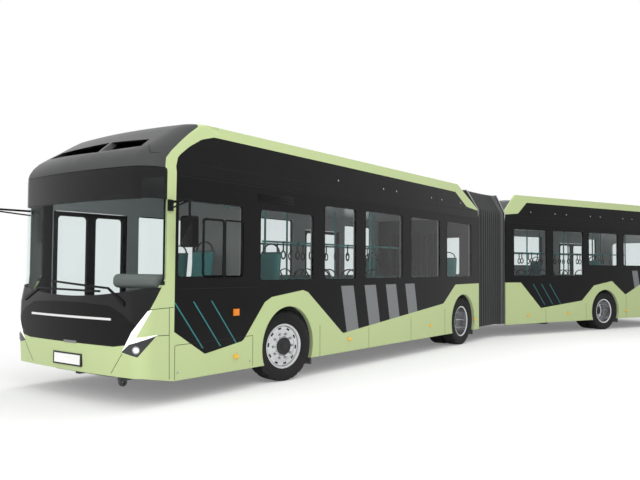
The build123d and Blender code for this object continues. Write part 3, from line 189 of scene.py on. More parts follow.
class Graph:
    """Short hand for building a node tree."""

    def __init__(self, tree: bpy.types.NodeTree) -> None:
        """Keeps the tree."""
        self.tree = tree

    def feed(self, socket: Socket, value: object) -> None:
        """Links a socket to another or sets its constant.

        Args:
            socket: Input socket.
            value: Output socket or constant.
        """
        if isinstance(value, Socket):
            self.tree.links.new(value, socket)
        else:
            socket.default_value = value

    def add(self, kind: str, inputs: dict | None = None, **settings: object) -> bpy.types.Node:
        """Adds a node.

        Args:
            kind: Node's type name.
            inputs: Values or sockets for its inputs, by name or index.
            settings: The node's own properties.

        Returns:
            The new node.
        """
        node = self.tree.nodes.new(kind)
        for key, value in settings.items():
            setattr(node, key, value)
        for key, value in (inputs or {}).items():
            self.feed(node.inputs[key], value)
        return node

    def math(self, operation: str, *values: object) -> Socket:
        """Adds a math node."""
        node = self.add("ShaderNodeMath", dict(enumerate(values)), operation=operation)
        return node.outputs[0]

    def mix(self, factor: object, first: object, second: object) -> Socket:
        """Adds a colour mix.

        Args:
            factor: Share of the second colour.
            first: Colour at 0.
            second: Colour at 1.

        Returns:
            The mixed colour's socket.
        """
        node = self.add("ShaderNodeMix", data_type="RGBA")
        self.feed(node.inputs[0], factor)
        self.feed(node.inputs[6], first)
        self.feed(node.inputs[7], second)
        return node.outputs[2]

    def curve(self, x: Socket, points: Edge) -> Socket:
        """Adds a polyline function of one value.

        Args:
            x: Its argument, in metres.
            points: Corners of the polyline, by rising argument.

        Returns:
            The polyline's height at x.
        """
        low, high = points[0][0], points[-1][0]
        tall = max(z for _, z in points)
        share = self.math("DIVIDE", self.math("SUBTRACT", x, low), high - low)
        node = self.add("ShaderNodeFloatCurve", {"Value": share})
        line = node.mapping.curves[0].points
        while len(line) < len(points):
            line.new(0.5, 0.5)
        for spot, (px, pz) in zip(line, points):
            spot.location = ((px - low) / (high - low), pz / tall)
            spot.handle_type = "VECTOR"
        node.mapping.update()
        return self.math("MULTIPLY", node.outputs[0], tall)


class Group:
    """A node group with named inputs and outputs."""

    made: dict[str, bpy.types.NodeTree] = {}

    def __init__(self, name: str, inputs: dict[str, object], outputs: dict[str, str]) -> None:
        """Opens a new group.

        Args:
            name: Group's name.
            inputs: Input names with default values; a 3-tuple makes a vector and a 4-tuple a colour.
            outputs: Output names with socket types.
        """
        self.tree = bpy.data.node_groups.new(name, "ShaderNodeTree")
        self.graph = Graph(self.tree)
        for key, value in inputs.items():
            kind = "NodeSocketFloat"
            if isinstance(value, tuple):
                kind = "NodeSocketVector" if len(value) == 3 else "NodeSocketColor"
            socket = self.tree.interface.new_socket(key, in_out="INPUT", socket_type=kind)
            socket.default_value = value
        for key, kind in outputs.items():
            self.tree.interface.new_socket(key, in_out="OUTPUT", socket_type=kind)
        self.source = self.graph.add("NodeGroupInput").outputs
        self.sink = self.graph.add("NodeGroupOutput").inputs
        Group.made[name] = self.tree

    def close(self, **results: Socket) -> None:
        """Links the group's results."""
        for key, value in results.items():
            self.graph.feed(self.sink[key], value)


# Livery edges in each car's side view: X from the front axle or the pivot, and Z, in metres
FRONT_BELT = (
    (-6.5, 1.243), (-5.28, 1.236), (-4.74, 0.876), (-1.31, 0.56), (-0.425, 1.214), (-0.31, 1.245),
    (0.364, 1.168), (0.505, 1.106), (0.92, 0.63), (1.58, 0.53), (2.05, 0.82), (2.7, 0.82),
)
FRONT_CROWN = (
    (-6.5, 2.80), (-5.886, 2.855), (-5.43, 3.127), (1.392, 3.166), (1.609, 3.105), (1.824, 2.984),
    (2.0, 2.852), (2.05, 2.775), (2.056, 2.68), (2.066, 0.0), (2.7, 0.0),
)
DOME_EDGE = (
    (0.0, 3.4), (1.60, 3.4), (1.637, 3.261), (1.797, 3.152), (1.955, 3.029), (2.106, 2.90), (2.195, 2.805),
    (2.222, 2.667), (2.23, 0.0), (2.7, 0.0),
)
REAR_BELT = (
    (-7.7, 1.15), (-5.565, 1.149), (-4.92, 0.89), (-4.355, 1.251), (-3.62, 1.141), (-3.14, 0.769),
    (-1.625, 0.622), (-0.94, 1.236), (-0.3, 1.24),
)
REAR_CROWN = ((-7.7, 2.80), (-6.95, 3.13), (-1.231, 3.131), (-0.888, 2.853), (-0.3, 2.80))
# Line between the bright strip and the dark lens of a headlamp: Y minus X, and Z
LAMP_LINE = ((-1.75, 0.52), (-1.572, 0.625), (-1.449, 0.712), (-1.02, 0.806), (-0.8, 0.85))


def livery_group(name: str, belt: Edge, crown: Edge) -> None:
    """Makes the mask of the black field on a car's side.

    Args:
        name: Group's name.
        belt: Lower edge of the black field.
        crown: Upper edge of the black field.
    """
    group = Group(name, {"X": 0.0, "Z": 0.0}, {"Black": "NodeSocketFloat"})
    graph = group.graph
    x, z = group.source["X"], group.source["Z"]
    above = graph.math("GREATER_THAN", z, graph.curve(x, belt))
    below = graph.math("LESS_THAN", z, graph.curve(x, crown))
    group.close(Black=graph.math("MULTIPLY", above, below))


def point_group() -> None:
    """Makes the group that turns a point into a car's own coordinates."""
    group = Group(
        "CarPoint",
        {"Vector": (0.0, 0.0, 0.0), "Origin": (0.0, 0.0, 0.0), "Turn": 0.0},
        dict.fromkeys(("X", "Side", "Z", "Inward"), "NodeSocketFloat"),
    )
    graph = group.graph
    moved = graph.add(
        "ShaderNodeVectorMath", {0: group.source["Vector"], 1: group.source["Origin"]}, operation="SUBTRACT"
    )
    turned = graph.add(
        "ShaderNodeVectorRotate",
        {"Vector": moved.outputs[0], "Angle": graph.math("MULTIPLY", group.source["Turn"], -1.0)},
        rotation_type="Z_AXIS",
    )
    parts = graph.add("ShaderNodeSeparateXYZ", {0: turned.outputs[0]}).outputs
    side = graph.math("ABSOLUTE", parts[1])
    rise = graph.math("MAXIMUM", graph.math("SUBTRACT", parts[2], CANT_Z), 0.0)
    wall = graph.math("SUBTRACT", HALF_WIDTH, graph.math("MULTIPLY", rise, LEAN))
    group.close(X=parts[0], Side=side, Z=parts[2], Inward=graph.math("SUBTRACT", wall, side))


def bars_group() -> None:
    """Makes the mask of a row of slanting bars."""
    given_sizes = {"X": 0.0, "Z": 0.0, **dict.fromkeys(BAR_SIZES, 1.0)}
    group = Group("Bars", given_sizes, {"Mask": "NodeSocketFloat"})
    graph, given = group.graph, group.source
    lift = graph.math("SUBTRACT", given["Z"], given["Low"])
    slant = graph.math("MULTIPLY", lift, given["Slant"])
    run = graph.math("SUBTRACT", graph.math("SUBTRACT", given["X"], given["Start"]), slant)
    bar = graph.math("LESS_THAN", graph.math("FLOORED_MODULO", run, given["Pitch"]), given["Width"])
    started, unfinished = graph.math("GREATER_THAN", run, 0.0), graph.math("LESS_THAN", run, given["Length"])
    long = graph.math("MULTIPLY", started, unfinished)
    raised, under = graph.math("GREATER_THAN", lift, 0.0), graph.math("LESS_THAN", given["Z"], given["High"])
    tall = graph.math("MULTIPLY", raised, under)
    group.close(Mask=graph.math("MULTIPLY", bar, graph.math("MULTIPLY", long, tall)))


def surface_groups() -> None:
    """Makes the groups of dust, grain and weave."""
    group = Group(
        "Dust", {"Vector": (0.0, 0.0, 0.0), "Scale": 3.0, "Amount": 0.1}, {"Factor": "NodeSocketFloat"}
    )
    graph = group.graph
    wide = graph.add(
        "ShaderNodeTexNoise",
        {"Vector": group.source["Vector"], "Scale": group.source["Scale"], "Detail": 5.0, "Roughness": 0.6},
    )
    low = graph.add("ShaderNodeSeparateXYZ", {0: group.source["Vector"]}).outputs[2]
    splash = graph.add("ShaderNodeMapRange", {"Value": low, 1: 0.2, 2: 0.9, 3: 1.6, 4: 0.8}).outputs[0]
    haze = graph.math("MULTIPLY", wide.outputs["Fac"], group.source["Amount"])
    group.close(Factor=graph.math("MULTIPLY", haze, splash))

    group = Group(
        "Grain",
        {"Vector": (0.0, 0.0, 0.0), "Scale": 400.0, "Depth": 0.0005, "Strength": 0.3},
        {"Normal": "NodeSocketVector"},
    )
    graph, given = group.graph, group.source
    fine = graph.add(
        "ShaderNodeTexNoise", {"Vector": given["Vector"], "Scale": given["Scale"], "Detail": 2.0}
    )
    bump = graph.add(
        "ShaderNodeBump",
        {"Height": fine.outputs["Fac"], "Distance": given["Depth"], "Strength": given["Strength"]},
    )
    group.close(Normal=bump.outputs[0])

    group = Group(
        "Weave",
        {"Vector": (0.0, 0.0, 0.0), "Scale": 260.0},
        {"Thread": "NodeSocketFloat", "Normal": "NodeSocketVector"},
    )
    graph = group.graph
    waves = [
        graph.add(
            "ShaderNodeTexWave",
            {"Vector": group.source["Vector"], "Scale": group.source["Scale"], "Distortion": 0.6},
            bands_direction=way,
        ).outputs["Fac"]
        for way in ("X", "Y", "Z")
    ]
    thread = graph.math("MULTIPLY", graph.math("ADD", graph.math("ADD", waves[0], waves[1]), waves[2]), 0.34)
    bump = graph.add("ShaderNodeBump", {"Height": thread, "Distance": 0.001, "Strength": 0.4})
    group.close(Thread=thread, Normal=bump.outputs[0])


def make_groups() -> None:
    """Makes every shared node group."""
    point_group()
    bars_group()
    surface_groups()
    livery_group("FrontLivery", FRONT_BELT, FRONT_CROWN)
    livery_group("RearLivery", REAR_BELT, REAR_CROWN)


class Finish:
    """A material under construction: a Principled shader fed by node groups."""

    def __init__(self, name: str) -> None:
        """Starts a material.

        Args:
            name: Material's name.
        """
        self.material = bpy.data.materials.new(name)
        self.material.use_nodes = True
        self.tree = self.material.node_tree
        self.graph = Graph(self.tree)
        self.shader = self.tree.nodes["Principled BSDF"]
        self.here = self.graph.add("ShaderNodeTexCoord").outputs["Object"]

    def group(self, name: str, **inputs: object) -> bpy.types.NodeOutputs:
        """Adds a group node.

        Args:
            name: Group's name.
            inputs: Values or sockets for its inputs.

        Returns:
            The node's outputs.
        """
        node = self.graph.add("ShaderNodeGroup", node_tree=Group.made[name])
        for key, value in inputs.items():
            self.graph.feed(node.inputs[key], value)
        return node.outputs

    def car_point(self, car: Car) -> bpy.types.NodeOutputs:
        """Adds the coordinates in a car's frame."""
        return self.group("CarPoint", Vector=self.here, Origin=tuple(car.origin), Turn=car.turn)

    def set(self, **inputs: object) -> "Finish":
        """Sets the shader's inputs.

        Args:
            inputs: Values by input name, with underscores for spaces.

        Returns:
            The finish itself.
        """
        for key, value in inputs.items():
            self.graph.feed(self.shader.inputs[key.replace("_", " ")], value)
        return self

    def wear_and_highlight(self, base: object, rough: float, dust: float, grain: float, scale: float) -> "Finish":
        """Sets a colour with faint dust and a fine grain.

        Args:
            base: Colour or socket.
            rough: Roughness.
            dust: How far the dust pales the colour.
            grain: Strength of the grain.
            scale: Grain's scale.

        Returns:
            The finish itself.
        """
        haze = self.group("Dust", Vector=self.here, Scale=2.5, Amount=dust)["Factor"]
        normal = self.group("Grain", Vector=self.here, Scale=scale, Strength=grain)["Normal"]
        pale = self.graph.mix(haze, base, Paint.DUST.value)
        return self.set(Base_Color=pale, Roughness=self.graph.math("ADD", haze, rough), Normal=normal)

    def paint(self, base: object) -> "Finish":
        """Sets the coach paint of the bus's skin."""
        return self.wear_and_highlight(base, 0.20, 0.016, 0.04, 60.0).set(Specular_IOR_Level=0.07)

    def surface(self, shader: Socket) -> None:
        """Links a shader to the material's output."""
        self.tree.links.new(shader, self.tree.nodes["Material Output"].inputs["Surface"])


@dataclass(frozen=True)
class Worn:
    """A plain finish with dust and grain."""

    name: str
    colour: Paint
    rough: float
    metal: float = 0.0
    dust: float = 0.05
    grain: float = 0.2
    scale: float = 350.0
    specular: float = 0.3
    glow: float = 0.0

    def make(self) -> bpy.types.Material:
        """Makes the material.

        Returns:
            The material.
        """
        finish = Finish(self.name).wear_and_highlight(self.colour.value, self.rough, self.dust, self.grain, self.scale)
        finish.set(Metallic=self.metal, Specular_IOR_Level=self.specular)
        if self.glow:
            finish.set(Emission_Color=self.colour.value, Emission_Strength=self.glow)
        return finish.material


@dataclass(frozen=True)
class SideLivery:
    """Livery of a car's walls and roof: green, with a black field and rows of bars in it."""

    name: str
    car: Car
    mask: str
    bars: tuple[dict[str, float], ...]

    def make(self) -> bpy.types.Material:
        """Makes the material.

        Returns:
            The material.
        """
        finish = Finish(self.name)
        graph = finish.graph
        spot = finish.car_point(self.car)
        black = finish.group(self.mask, X=spot["X"], Z=spot["Z"])["Black"]
        skin = graph.mix(black, Paint.GREEN.value, Paint.BLACK.value)
        for row, tone in zip(self.bars, (Paint.GREY_BAR, Paint.TEAL_LINE)):
            bar = finish.group("Bars", X=spot["X"], Z=spot["Z"], **row)["Mask"]
            skin = graph.mix(graph.math("MULTIPLY", bar, black), skin, tone.value)
        inside = graph.math("GREATER_THAN", spot["Inward"], LINING)
        high = graph.math("GREATER_THAN", spot["Z"], 2.66)
        lining = graph.mix(high, Paint.CEILING.value, Paint.ROOF.value)
        return finish.paint(graph.mix(inside, skin, lining)).material


class DomeLivery:
    """Finish of the dome: dark grey, with the sides' black and green running onto it."""

    def make(self) -> bpy.types.Material:
        """Makes the material.

        Returns:
            The material.
        """
        finish = Finish("dome_livery")
        graph = finish.graph
        spot = finish.car_point(FRONT)
        flank = graph.math("LESS_THAN", spot["Inward"], 0.045)
        banded = graph.math("LESS_THAN", spot["Z"], graph.curve(spot["X"], DOME_EDGE))
        black = graph.math("LESS_THAN", spot["Z"], graph.curve(spot["X"], FRONT_CROWN))
        band = graph.mix(black, Paint.GREEN.value, Paint.BLACK.value)
        skin = graph.mix(graph.math("MULTIPLY", flank, banded), Paint.DOME.value, band)
        finish.wear_and_highlight(skin, 0.30, 0.016, 0.05, 80.0).set(Specular_IOR_Level=0.07)
        return finish.material


class MaskLivery:
    """Finish of the front mask: green outside, black over the windscreen and on the pillars' inner faces."""

    def make(self) -> bpy.types.Material:
        """Makes the material.

        Returns:
            The material.
        """
        finish = Finish("mask_livery")
        graph = finish.graph
        spot = finish.car_point(FRONT)
        flank = graph.math("LESS_THAN", spot["Inward"], 0.022)
        behind = graph.math("LESS_THAN", spot["X"], 2.205)
        under = graph.math("LESS_THAN", spot["Z"], 2.70)
        pillar = graph.math("MULTIPLY", graph.math("MULTIPLY", flank, behind), under)
        shown = graph.math("MAXIMUM", pillar, graph.math("LESS_THAN", spot["Z"], 1.36))
        inside = graph.add("ShaderNodeAttribute", attribute_name="inside").outputs["Fac"]
        green = graph.math("MULTIPLY", shown, graph.math("SUBTRACT", 1.0, inside))
        return finish.paint(graph.mix(green, Paint.BLACK.value, Paint.GREEN.value)).material


class TailLivery:
    """Finish of the tail: green outside and lined inside."""

    def make(self) -> bpy.types.Material:
        """Makes the material.

        Returns:
            The material.
        """
        finish = Finish("tail_livery")
        inside = finish.graph.add("ShaderNodeAttribute", attribute_name="inside").outputs["Fac"]
        return finish.paint(finish.graph.mix(inside, Paint.GREEN.value, Paint.CEILING.value)).material


@dataclass(frozen=True)
class TintedGlass:
    """Thin tinted glass, with a black print up to a height and, from another height, a dark header band of
    painted shade.
    """

    name: str
    tint: float
    mirror: float
    gloss: float
    print_z: float = 0.0
    # Height above which the glass is darkened with painted shade
    shade_z: float = 9.0

    def make(self) -> bpy.types.Material:
        """Makes the material.

        Returns:
            The material.
        """
        finish = Finish(self.name)
        graph = finish.graph
        spot = finish.car_point(FRONT)
        finish.wear_and_highlight(Paint.BLACK.value, 0.12, 0.03, 0.02, 60.0).set(Specular_IOR_Level=0.2)
        tone = (self.tint * 0.975, self.tint, self.tint * 0.997, 1.0)
        clear = graph.add("ShaderNodeBsdfTransparent", {"Color": tone})
        shine = graph.add("ShaderNodeBsdfGlossy", {"Color": (1.0, 1.0, 1.0, 1.0), "Roughness": 0.02})
        glance = graph.add("ShaderNodeLayerWeight", {"Blend": 0.22}).outputs["Fresnel"]
        outside = graph.math("SUBTRACT", 1.0, graph.add("ShaderNodeNewGeometry").outputs["Backfacing"])
        share = graph.math("ADD", graph.math("MULTIPLY", glance, self.gloss), self.mirror)
        share = graph.math("MULTIPLY", graph.math("MINIMUM", share, 1.0), outside)
        pane = graph.add("ShaderNodeMixShader", {0: share, 1: clear.outputs[0], 2: shine.outputs[0]})
        arch = graph.math("MULTIPLY", graph.math("MULTIPLY", spot["Side"], spot["Side"]), 0.07)
        print_and_shade = graph.math("LESS_THAN", spot["Z"], graph.math("ADD", arch, self.print_z))
        # Painted shade: above shade_z the glass is mostly covered by the black finish, darkening what shows
        # through the header
        header = graph.math("MULTIPLY", graph.math("GREATER_THAN", spot["Z"], self.shade_z), 0.8)
        print_and_shade = graph.math("MAXIMUM", print_and_shade, header)
        both = graph.add("ShaderNodeMixShader", {0: print_and_shade, 1: pane.outputs[0], 2: finish.shader.outputs[0]})
        finish.surface(both.outputs[0])
        return finish.material


class LampFace:
    """Finish of a headlamp: a lit strip over a dark lens."""

    def make(self) -> bpy.types.Material:
        """Makes the material.

        Returns:
            The material.
        """
        finish = Finish("lamp_face")
        graph = finish.graph
        spot = finish.car_point(FRONT)
        across = graph.math("SUBTRACT", spot["Side"], spot["X"])
        strip = graph.math("GREATER_THAN", spot["Z"], graph.curve(across, LAMP_LINE))
        tone = graph.mix(strip, (0.020, 0.021, 0.022, 1.0), Paint.WHITE.value)
        glow = graph.mix(strip, (0.0, 0.0, 0.0, 1.0), (0.55, 0.56, 0.57, 1.0))
        finish.wear_and_highlight(tone, 0.1, 0.02, 0.02, 60.0)
        finish.set(Emission_Color=glow, Emission_Strength=1.0, Specular_IOR_Level=0.5)
        return finish.material


@dataclass(frozen=True)
class Cloth:
    """A woven finish, paler where the mesh attribute named ridge says so, as a painted highlight."""

    name: str
    colour: Paint
    ridge: Paint
    rough: float
    scale: float

    def make(self) -> bpy.types.Material:
        """Makes the material.

        Returns:
            The material.
        """
        finish = Finish(self.name)
        graph = finish.graph
        weave = finish.group("Weave", Vector=finish.here, Scale=self.scale)
        haze = finish.group("Dust", Vector=finish.here, Scale=3.0, Amount=0.05)["Factor"]
        # Painted highlight: the ridge attribute pales the cloth towards the ridge colour
        wear_and_highlight = graph.add("ShaderNodeAttribute", attribute_name="ridge").outputs["Fac"]
        base = graph.mix(wear_and_highlight, self.colour.value, self.ridge.value)
        shaded = graph.mix(graph.math("MULTIPLY", weave["Thread"], 0.35), base, Paint.BLACK.value)
        finish.set(
            Base_Color=graph.mix(haze, shaded, Paint.DUST.value),
            Roughness=graph.math("ADD", haze, self.rough),
            Normal=weave["Normal"],
            Specular_IOR_Level=0.15,
            Sheen_Weight=0.1,
        )
        return finish.material


BAR_SIZES = ("Start", "Length", "Low", "High", "Pitch", "Width", "Slant")
GREY_BARS = dict(zip(BAR_SIZES, (-3.75, 2.62, 0.5, 1.285, 0.66, 0.34, 0.22)))
FRONT_LINES = dict(zip(BAR_SIZES, (1.02, 0.62, 0.6, 1.16, 0.29, 0.022, 0.8)))
REAR_BARS = dict(zip(BAR_SIZES, (-6.6, 1.3, 0.9, 1.52, 0.5, 0.24, 0.22)))
REAR_LINES = dict(zip(BAR_SIZES, (-2.35, 0.62, 0.7, 1.20, 0.29, 0.022, 0.8)))


class Wardrobe:
    """All materials of the bus, by name."""

    def __init__(self) -> None:
        """Makes the materials."""
        make_groups()
        finishes = (
            SideLivery("front_livery", FRONT, "FrontLivery", (GREY_BARS, FRONT_LINES)),
            SideLivery("rear_livery", REAR, "RearLivery", (REAR_BARS, REAR_LINES)),
            DomeLivery(),
            MaskLivery(),
            TailLivery(),
            LampFace(),
            TintedGlass("side_glass", 0.92, 0.008, 1.0),
            TintedGlass("screen_glass", 0.965, 0.0, 0.4, print_z=1.22, shade_z=2.33),
            Cloth("bellows_cloth", Paint.FABRIC, Paint.FOLD, 0.7, 220.0),
            Cloth("seat_cloth", Paint.TEAL, Paint.SHELL, 0.85, 300.0),
            Worn("gloss_black", Paint.BLACK, 0.15, dust=0.02, grain=0.02, scale=60.0, specular=0.08),
            # Black plastic parts; also the painted shade in the rims' hand holes
            Worn("black_plastic_and_hole_shade", Paint.CHASSIS, 0.5, grain=0.25, scale=500.0),
            Worn("roof_paint", Paint.ROOF, 0.5, dust=0.2),
            Worn("chassis", Paint.CHASSIS, 0.6, dust=0.12),
            Worn("tyre_rubber", Paint.RUBBER, 0.7, dust=0.06, grain=0.4, scale=220.0, specular=0.15),
            Worn("alloy", Paint.ALLOY, 0.22, metal=1.0, dust=0.06, grain=0.06),
            Worn("steel", Paint.STEEL, 0.3, metal=1.0, dust=0.08),
            Worn("brushed_bar", Paint.WHITE, 0.3, metal=0.9, grain=0.1),
            Worn("seat_shell", Paint.SHELL, 0.5),
            Worn("pole_teal", Paint.POLE, 0.3, dust=0.02, grain=0.03),
            Worn("floor_vinyl", Paint.FLOOR, 0.55),
            Worn("cab_plastic", Paint.CAB, 0.6, grain=0.3),
            Worn("dash_pad", Paint.DASH, 0.65, grain=0.4, scale=250.0),
            Worn("amber_lens", Paint.AMBER, 0.15, dust=0.02),
            Worn("pale_amber_lens", Paint.PALE_AMBER, 0.15, dust=0.02),
            Worn("red_lens", Paint.RED, 0.1, dust=0.02),
            Worn("lit_lens", Paint.WHITE, 0.1, dust=0.01, glow=0.9),
            Worn("plate_enamel", Paint.WHITE, 0.35, dust=0.04),
            Worn("seam_shadow", Paint.SEAM, 0.7, dust=0.02),
        )
        self.by_name = {made.name: made for made in (finish.make() for finish in finishes)}

    def __getitem__(self, name: str) -> bpy.types.Material:
        """Looks a material up by its name."""
        return self.by_name[name]


def facing(way: Point) -> FaceTest:
    """Gives a test for faces that look in a direction."""
    return lambda face: face.normal.dot(Vector(way)) > 0.9


class Bench:
    """Hand tools over bpy.ops; each leaves one active piece in object mode."""

    @staticmethod
    def clear() -> None:
        """Leaves edit mode and deselects everything."""
        if bpy.context.object is not None and bpy.context.object.mode != "OBJECT":
            bpy.ops.object.mode_set(mode="OBJECT")
        bpy.ops.object.select_all(action="DESELECT")

    @staticmethod
    def pick(piece: Piece) -> None:
        """Selects one piece alone.

        Args:
            piece: The piece.
        """
        Bench.clear()
        piece.select_set(True)
        bpy.context.view_layer.objects.active = piece

    @staticmethod
    def named(name: str) -> Piece:
        """Names the piece just added and applies its place.

        Args:
            name: Piece's name.

        Returns:
            The piece.
        """
        piece = bpy.context.active_object
        piece.name = name
        piece.data.name = name
        bpy.ops.object.transform_apply(location=True, rotation=True, scale=True)
        return piece

    @staticmethod
    def block(name: str, size: Sequence[float], at: Sequence[float] = (0, 0, 0)) -> Piece:
        """Adds a block.

        Args:
            name: Piece's name.
            size: Its size.
            at: Its middle.

        Returns:
            The block.
        """
        Bench.clear()
        bpy.ops.mesh.primitive_cube_add(size=1.0, location=at, scale=size)
        return Bench.named(name)

    @staticmethod
    def drum(name: str, radius: float, depth: float, at: Sequence[float], sides: int = 32) -> Piece:
        """Adds a drum on the Y axis.

        Args:
            name: Piece's name.
            radius: Its radius.
            depth: Its depth.
            at: Its middle.
            sides: Its sides.

        Returns:
            The drum.
        """
        Bench.clear()
        bpy.ops.mesh.primitive_cylinder_add(
            vertices=sides, radius=radius, depth=depth, location=at, rotation=(math.pi / 2, 0, 0)
        )
        return Bench.named(name)

    @staticmethod
    def hoop(name: str, radius: float, thick: float, at: Sequence[float], turn: Sequence[float]) -> Piece:
        """Adds a round hoop.

        Args:
            name: Piece's name.
            radius: Radius of its middle line.
            thick: Radius of its section.
            at: Its middle.
            turn: Its rotation.

        Returns:
            The hoop.
        """
        Bench.clear()
        bpy.ops.mesh.primitive_torus_add(
            major_radius=radius, minor_radius=thick, major_segments=40, minor_segments=10,
            location=at, rotation=turn,
        )
        return Bench.named(name)

    @staticmethod
    def edit(piece: Piece, keep: FaceTest) -> None:
        """Opens a piece in edit mode with some of its faces selected.

        Args:
            piece: The piece.
            keep: Says which faces are selected.
        """
        Bench.pick(piece)
        bpy.ops.object.mode_set(mode="EDIT")
        bpy.ops.mesh.select_mode(type="FACE")
        bpy.ops.mesh.select_all(action="DESELECT")
        mesh = bmesh.from_edit_mesh(piece.data)
        for face in mesh.faces:
            if keep(face):
                face.select_set(True)
        mesh.select_flush_mode()
        bmesh.update_edit_mesh(piece.data)

    @staticmethod
    def step(piece: Piece, keep: FaceTest, border: float, move: Point) -> None:
        """Insets some faces of a piece and moves what is inside the border.

        Args:
            piece: The piece.
            keep: Says which faces.
            border: Border's width.
            move: Move of the faces inside it.
        """
        Bench.edit(piece, keep)
        bpy.ops.mesh.inset(thickness=border)
        bpy.ops.mesh.extrude_region_move(TRANSFORM_OT_translate={"value": move})
        Bench.done()

    @staticmethod
    def halve(piece: Piece, at: Point, way: Point) -> Piece:
        """Cuts away the half of a piece behind a plane and closes the cut.

        Args:
            piece: The piece.
            at: Point on the plane.
            way: Direction of the half that stays.

        Returns:
            The piece.
        """
        Bench.edit(piece, lambda face: True)
        bpy.ops.mesh.bisect(plane_co=at, plane_no=way, clear_inner=True, use_fill=True)
        Bench.done()
        return piece

    @staticmethod
    def apply(piece: Piece, kind: str, **settings: object) -> Piece:
        """Adds a modifier and applies it.

        Args:
            piece: The piece.
            kind: Modifier's type.
            settings: Modifier's properties.

        Returns:
            The piece.
        """
        Bench.pick(piece)
        modifier = piece.modifiers.new(kind.lower(), kind)
        for key, value in settings.items():
            setattr(modifier, key, value)
        bpy.ops.object.modifier_apply(modifier=modifier.name)
        return piece

    @staticmethod
    def done() -> None:
        """Leaves edit mode."""
        bpy.ops.object.mode_set(mode="OBJECT")

    @staticmethod
    def weld(piece: Piece, turn_out: bool = True) -> Piece:
        """Merges a piece's doubled points.

        Args:
            piece: The piece.
            turn_out: Whether its faces are turned outwards too.

        Returns:
            The piece.
        """
        Bench.edit(piece, lambda face: True)
        bpy.ops.mesh.select_all(action="SELECT")
        bpy.ops.mesh.remove_doubles(threshold=0.00002)
        if turn_out:
            bpy.ops.mesh.normals_make_consistent(inside=False)
        Bench.done()
        return piece

    @staticmethod
    def round(piece: Piece, width: float, segments: int = 2) -> Piece:
        """Rounds a piece's sharp edges.

        Args:
            piece: The piece.
            width: Width of the rounding.
            segments: Its segments.

        Returns:
            The piece.
        """
        return Bench.apply(
            piece, "BEVEL", width=width, segments=segments, limit_method="ANGLE", angle_limit=SHARP
        )

    @staticmethod
    def copy(piece: Piece, name: str, place: Matrix) -> Piece:
        """Copies a piece with its own mesh to another place.

        Args:
            piece: The piece.
            name: Copy's name.
            place: Copy's place.

        Returns:
            The copy.
        """
        twin = bpy.data.objects.new(name, piece.data.copy())
        twin.data.name = name
        bpy.context.scene.collection.objects.link(twin)
        twin.data.transform(place)
        if place.determinant() < 0:
            twin.data.flip_normals()
        return twin

    @staticmethod
    def join(name: str, pieces: Sequence[Piece]) -> Piece:
        """Joins pieces into one.

        Args:
            name: Name of the whole.
            pieces: The pieces.

        Returns:
            The whole.
        """
        Bench.pick(pieces[0])
        for piece in pieces[1:]:
            piece.select_set(True)
        bpy.ops.object.join()
        pieces[0].name = name
        pieces[0].data.name = name
        return pieces[0]

    @staticmethod
    def repeat(name: str, model: Piece, places: Sequence[Matrix]) -> Piece:
        """Copies a model to each place, joins the copies and removes the model.

        Args:
            name: Name of the whole.
            model: The model.
            places: The places.

        Returns:
            The whole.
        """
        copies = [Bench.copy(model, f"{name}_{i}", place) for i, place in enumerate(places)]
        bpy.data.objects.remove(model)
        return Bench.join(name, copies)

    @staticmethod
    def turned(name: str, outline: Edge, steps: int) -> Piece:
        """Spins a closed outline round the Y axis.

        Args:
            name: Piece's name.
            outline: Corners of the section: radius and distance along the axis.
            steps: Steps of the spin.

        Returns:
            The turned piece.
        """
        Bench.clear()
        bpy.ops.mesh.primitive_circle_add(vertices=len(outline), radius=1.0, fill_type="NOTHING")
        piece = Bench.named(name)
        for vertex, (radius, along) in zip(piece.data.vertices, outline):
            vertex.co = (radius, along, 0.0)
        Bench.pick(piece)
        bpy.ops.object.mode_set(mode="EDIT")
        bpy.ops.mesh.select_mode(type="VERT")
        bpy.ops.mesh.select_all(action="SELECT")
        bpy.ops.mesh.spin(steps=steps, angle=2 * math.pi, center=(0, 0, 0), axis=(0, 1, 0))
        Bench.done()
        return Bench.weld(piece)

    @staticmethod
    def grid(name: str, rows: Sequence[Sequence[Vector]]) -> Piece:
        """Lays a thin grid over rows of points.

        Args:
            name: Piece's name.
            rows: Rows of points, all of one length.

        Returns:
            The grid.
        """
        Bench.clear()
        tall, wide = len(rows), len(rows[0])
        bpy.ops.mesh.primitive_grid_add(x_subdivisions=wide - 1, y_subdivisions=tall - 1, size=1.0)
        piece = Bench.named(name)
        for index, vertex in enumerate(piece.data.vertices):
            vertex.co = rows[index // wide][index % wide]
        return piece

    @staticmethod
    def band(name: str, rows: Sequence[Sequence[Vector]], thick: float) -> Piece:
        """Lays a grid over rows of points and gives it thickness to both sides."""
        return Bench.apply(Bench.grid(name, rows), "SOLIDIFY", thickness=thick, offset=0.0)


@dataclass
class Maker:
    """Base of the classes that build pieces and dress them from the wardrobe."""

    wardrobe: Wardrobe

    def hand_in(self, piece: Piece, look: str, body: str, slot: str, smooth: float = 35.0) -> None:
        """Dresses a finished piece and lets it ride.

        Args:
            piece: The piece.
            look: Name of its finish.
            body: Body that carries it, or nothing for a blended piece.
            slot: Material slot of the record; not used.
            smooth: Angle under which faces are shaded smooth, in degrees.
        """
        Bench.pick(piece)
        bpy.ops.object.shade_smooth_by_angle(angle=math.radians(smooth))
        if not piece.data.materials:
            piece.data.materials.append(self.wardrobe[look])
        if body:
            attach(piece, body)
        log.info("%s: %d faces", piece.name, len(piece.data.polygons))


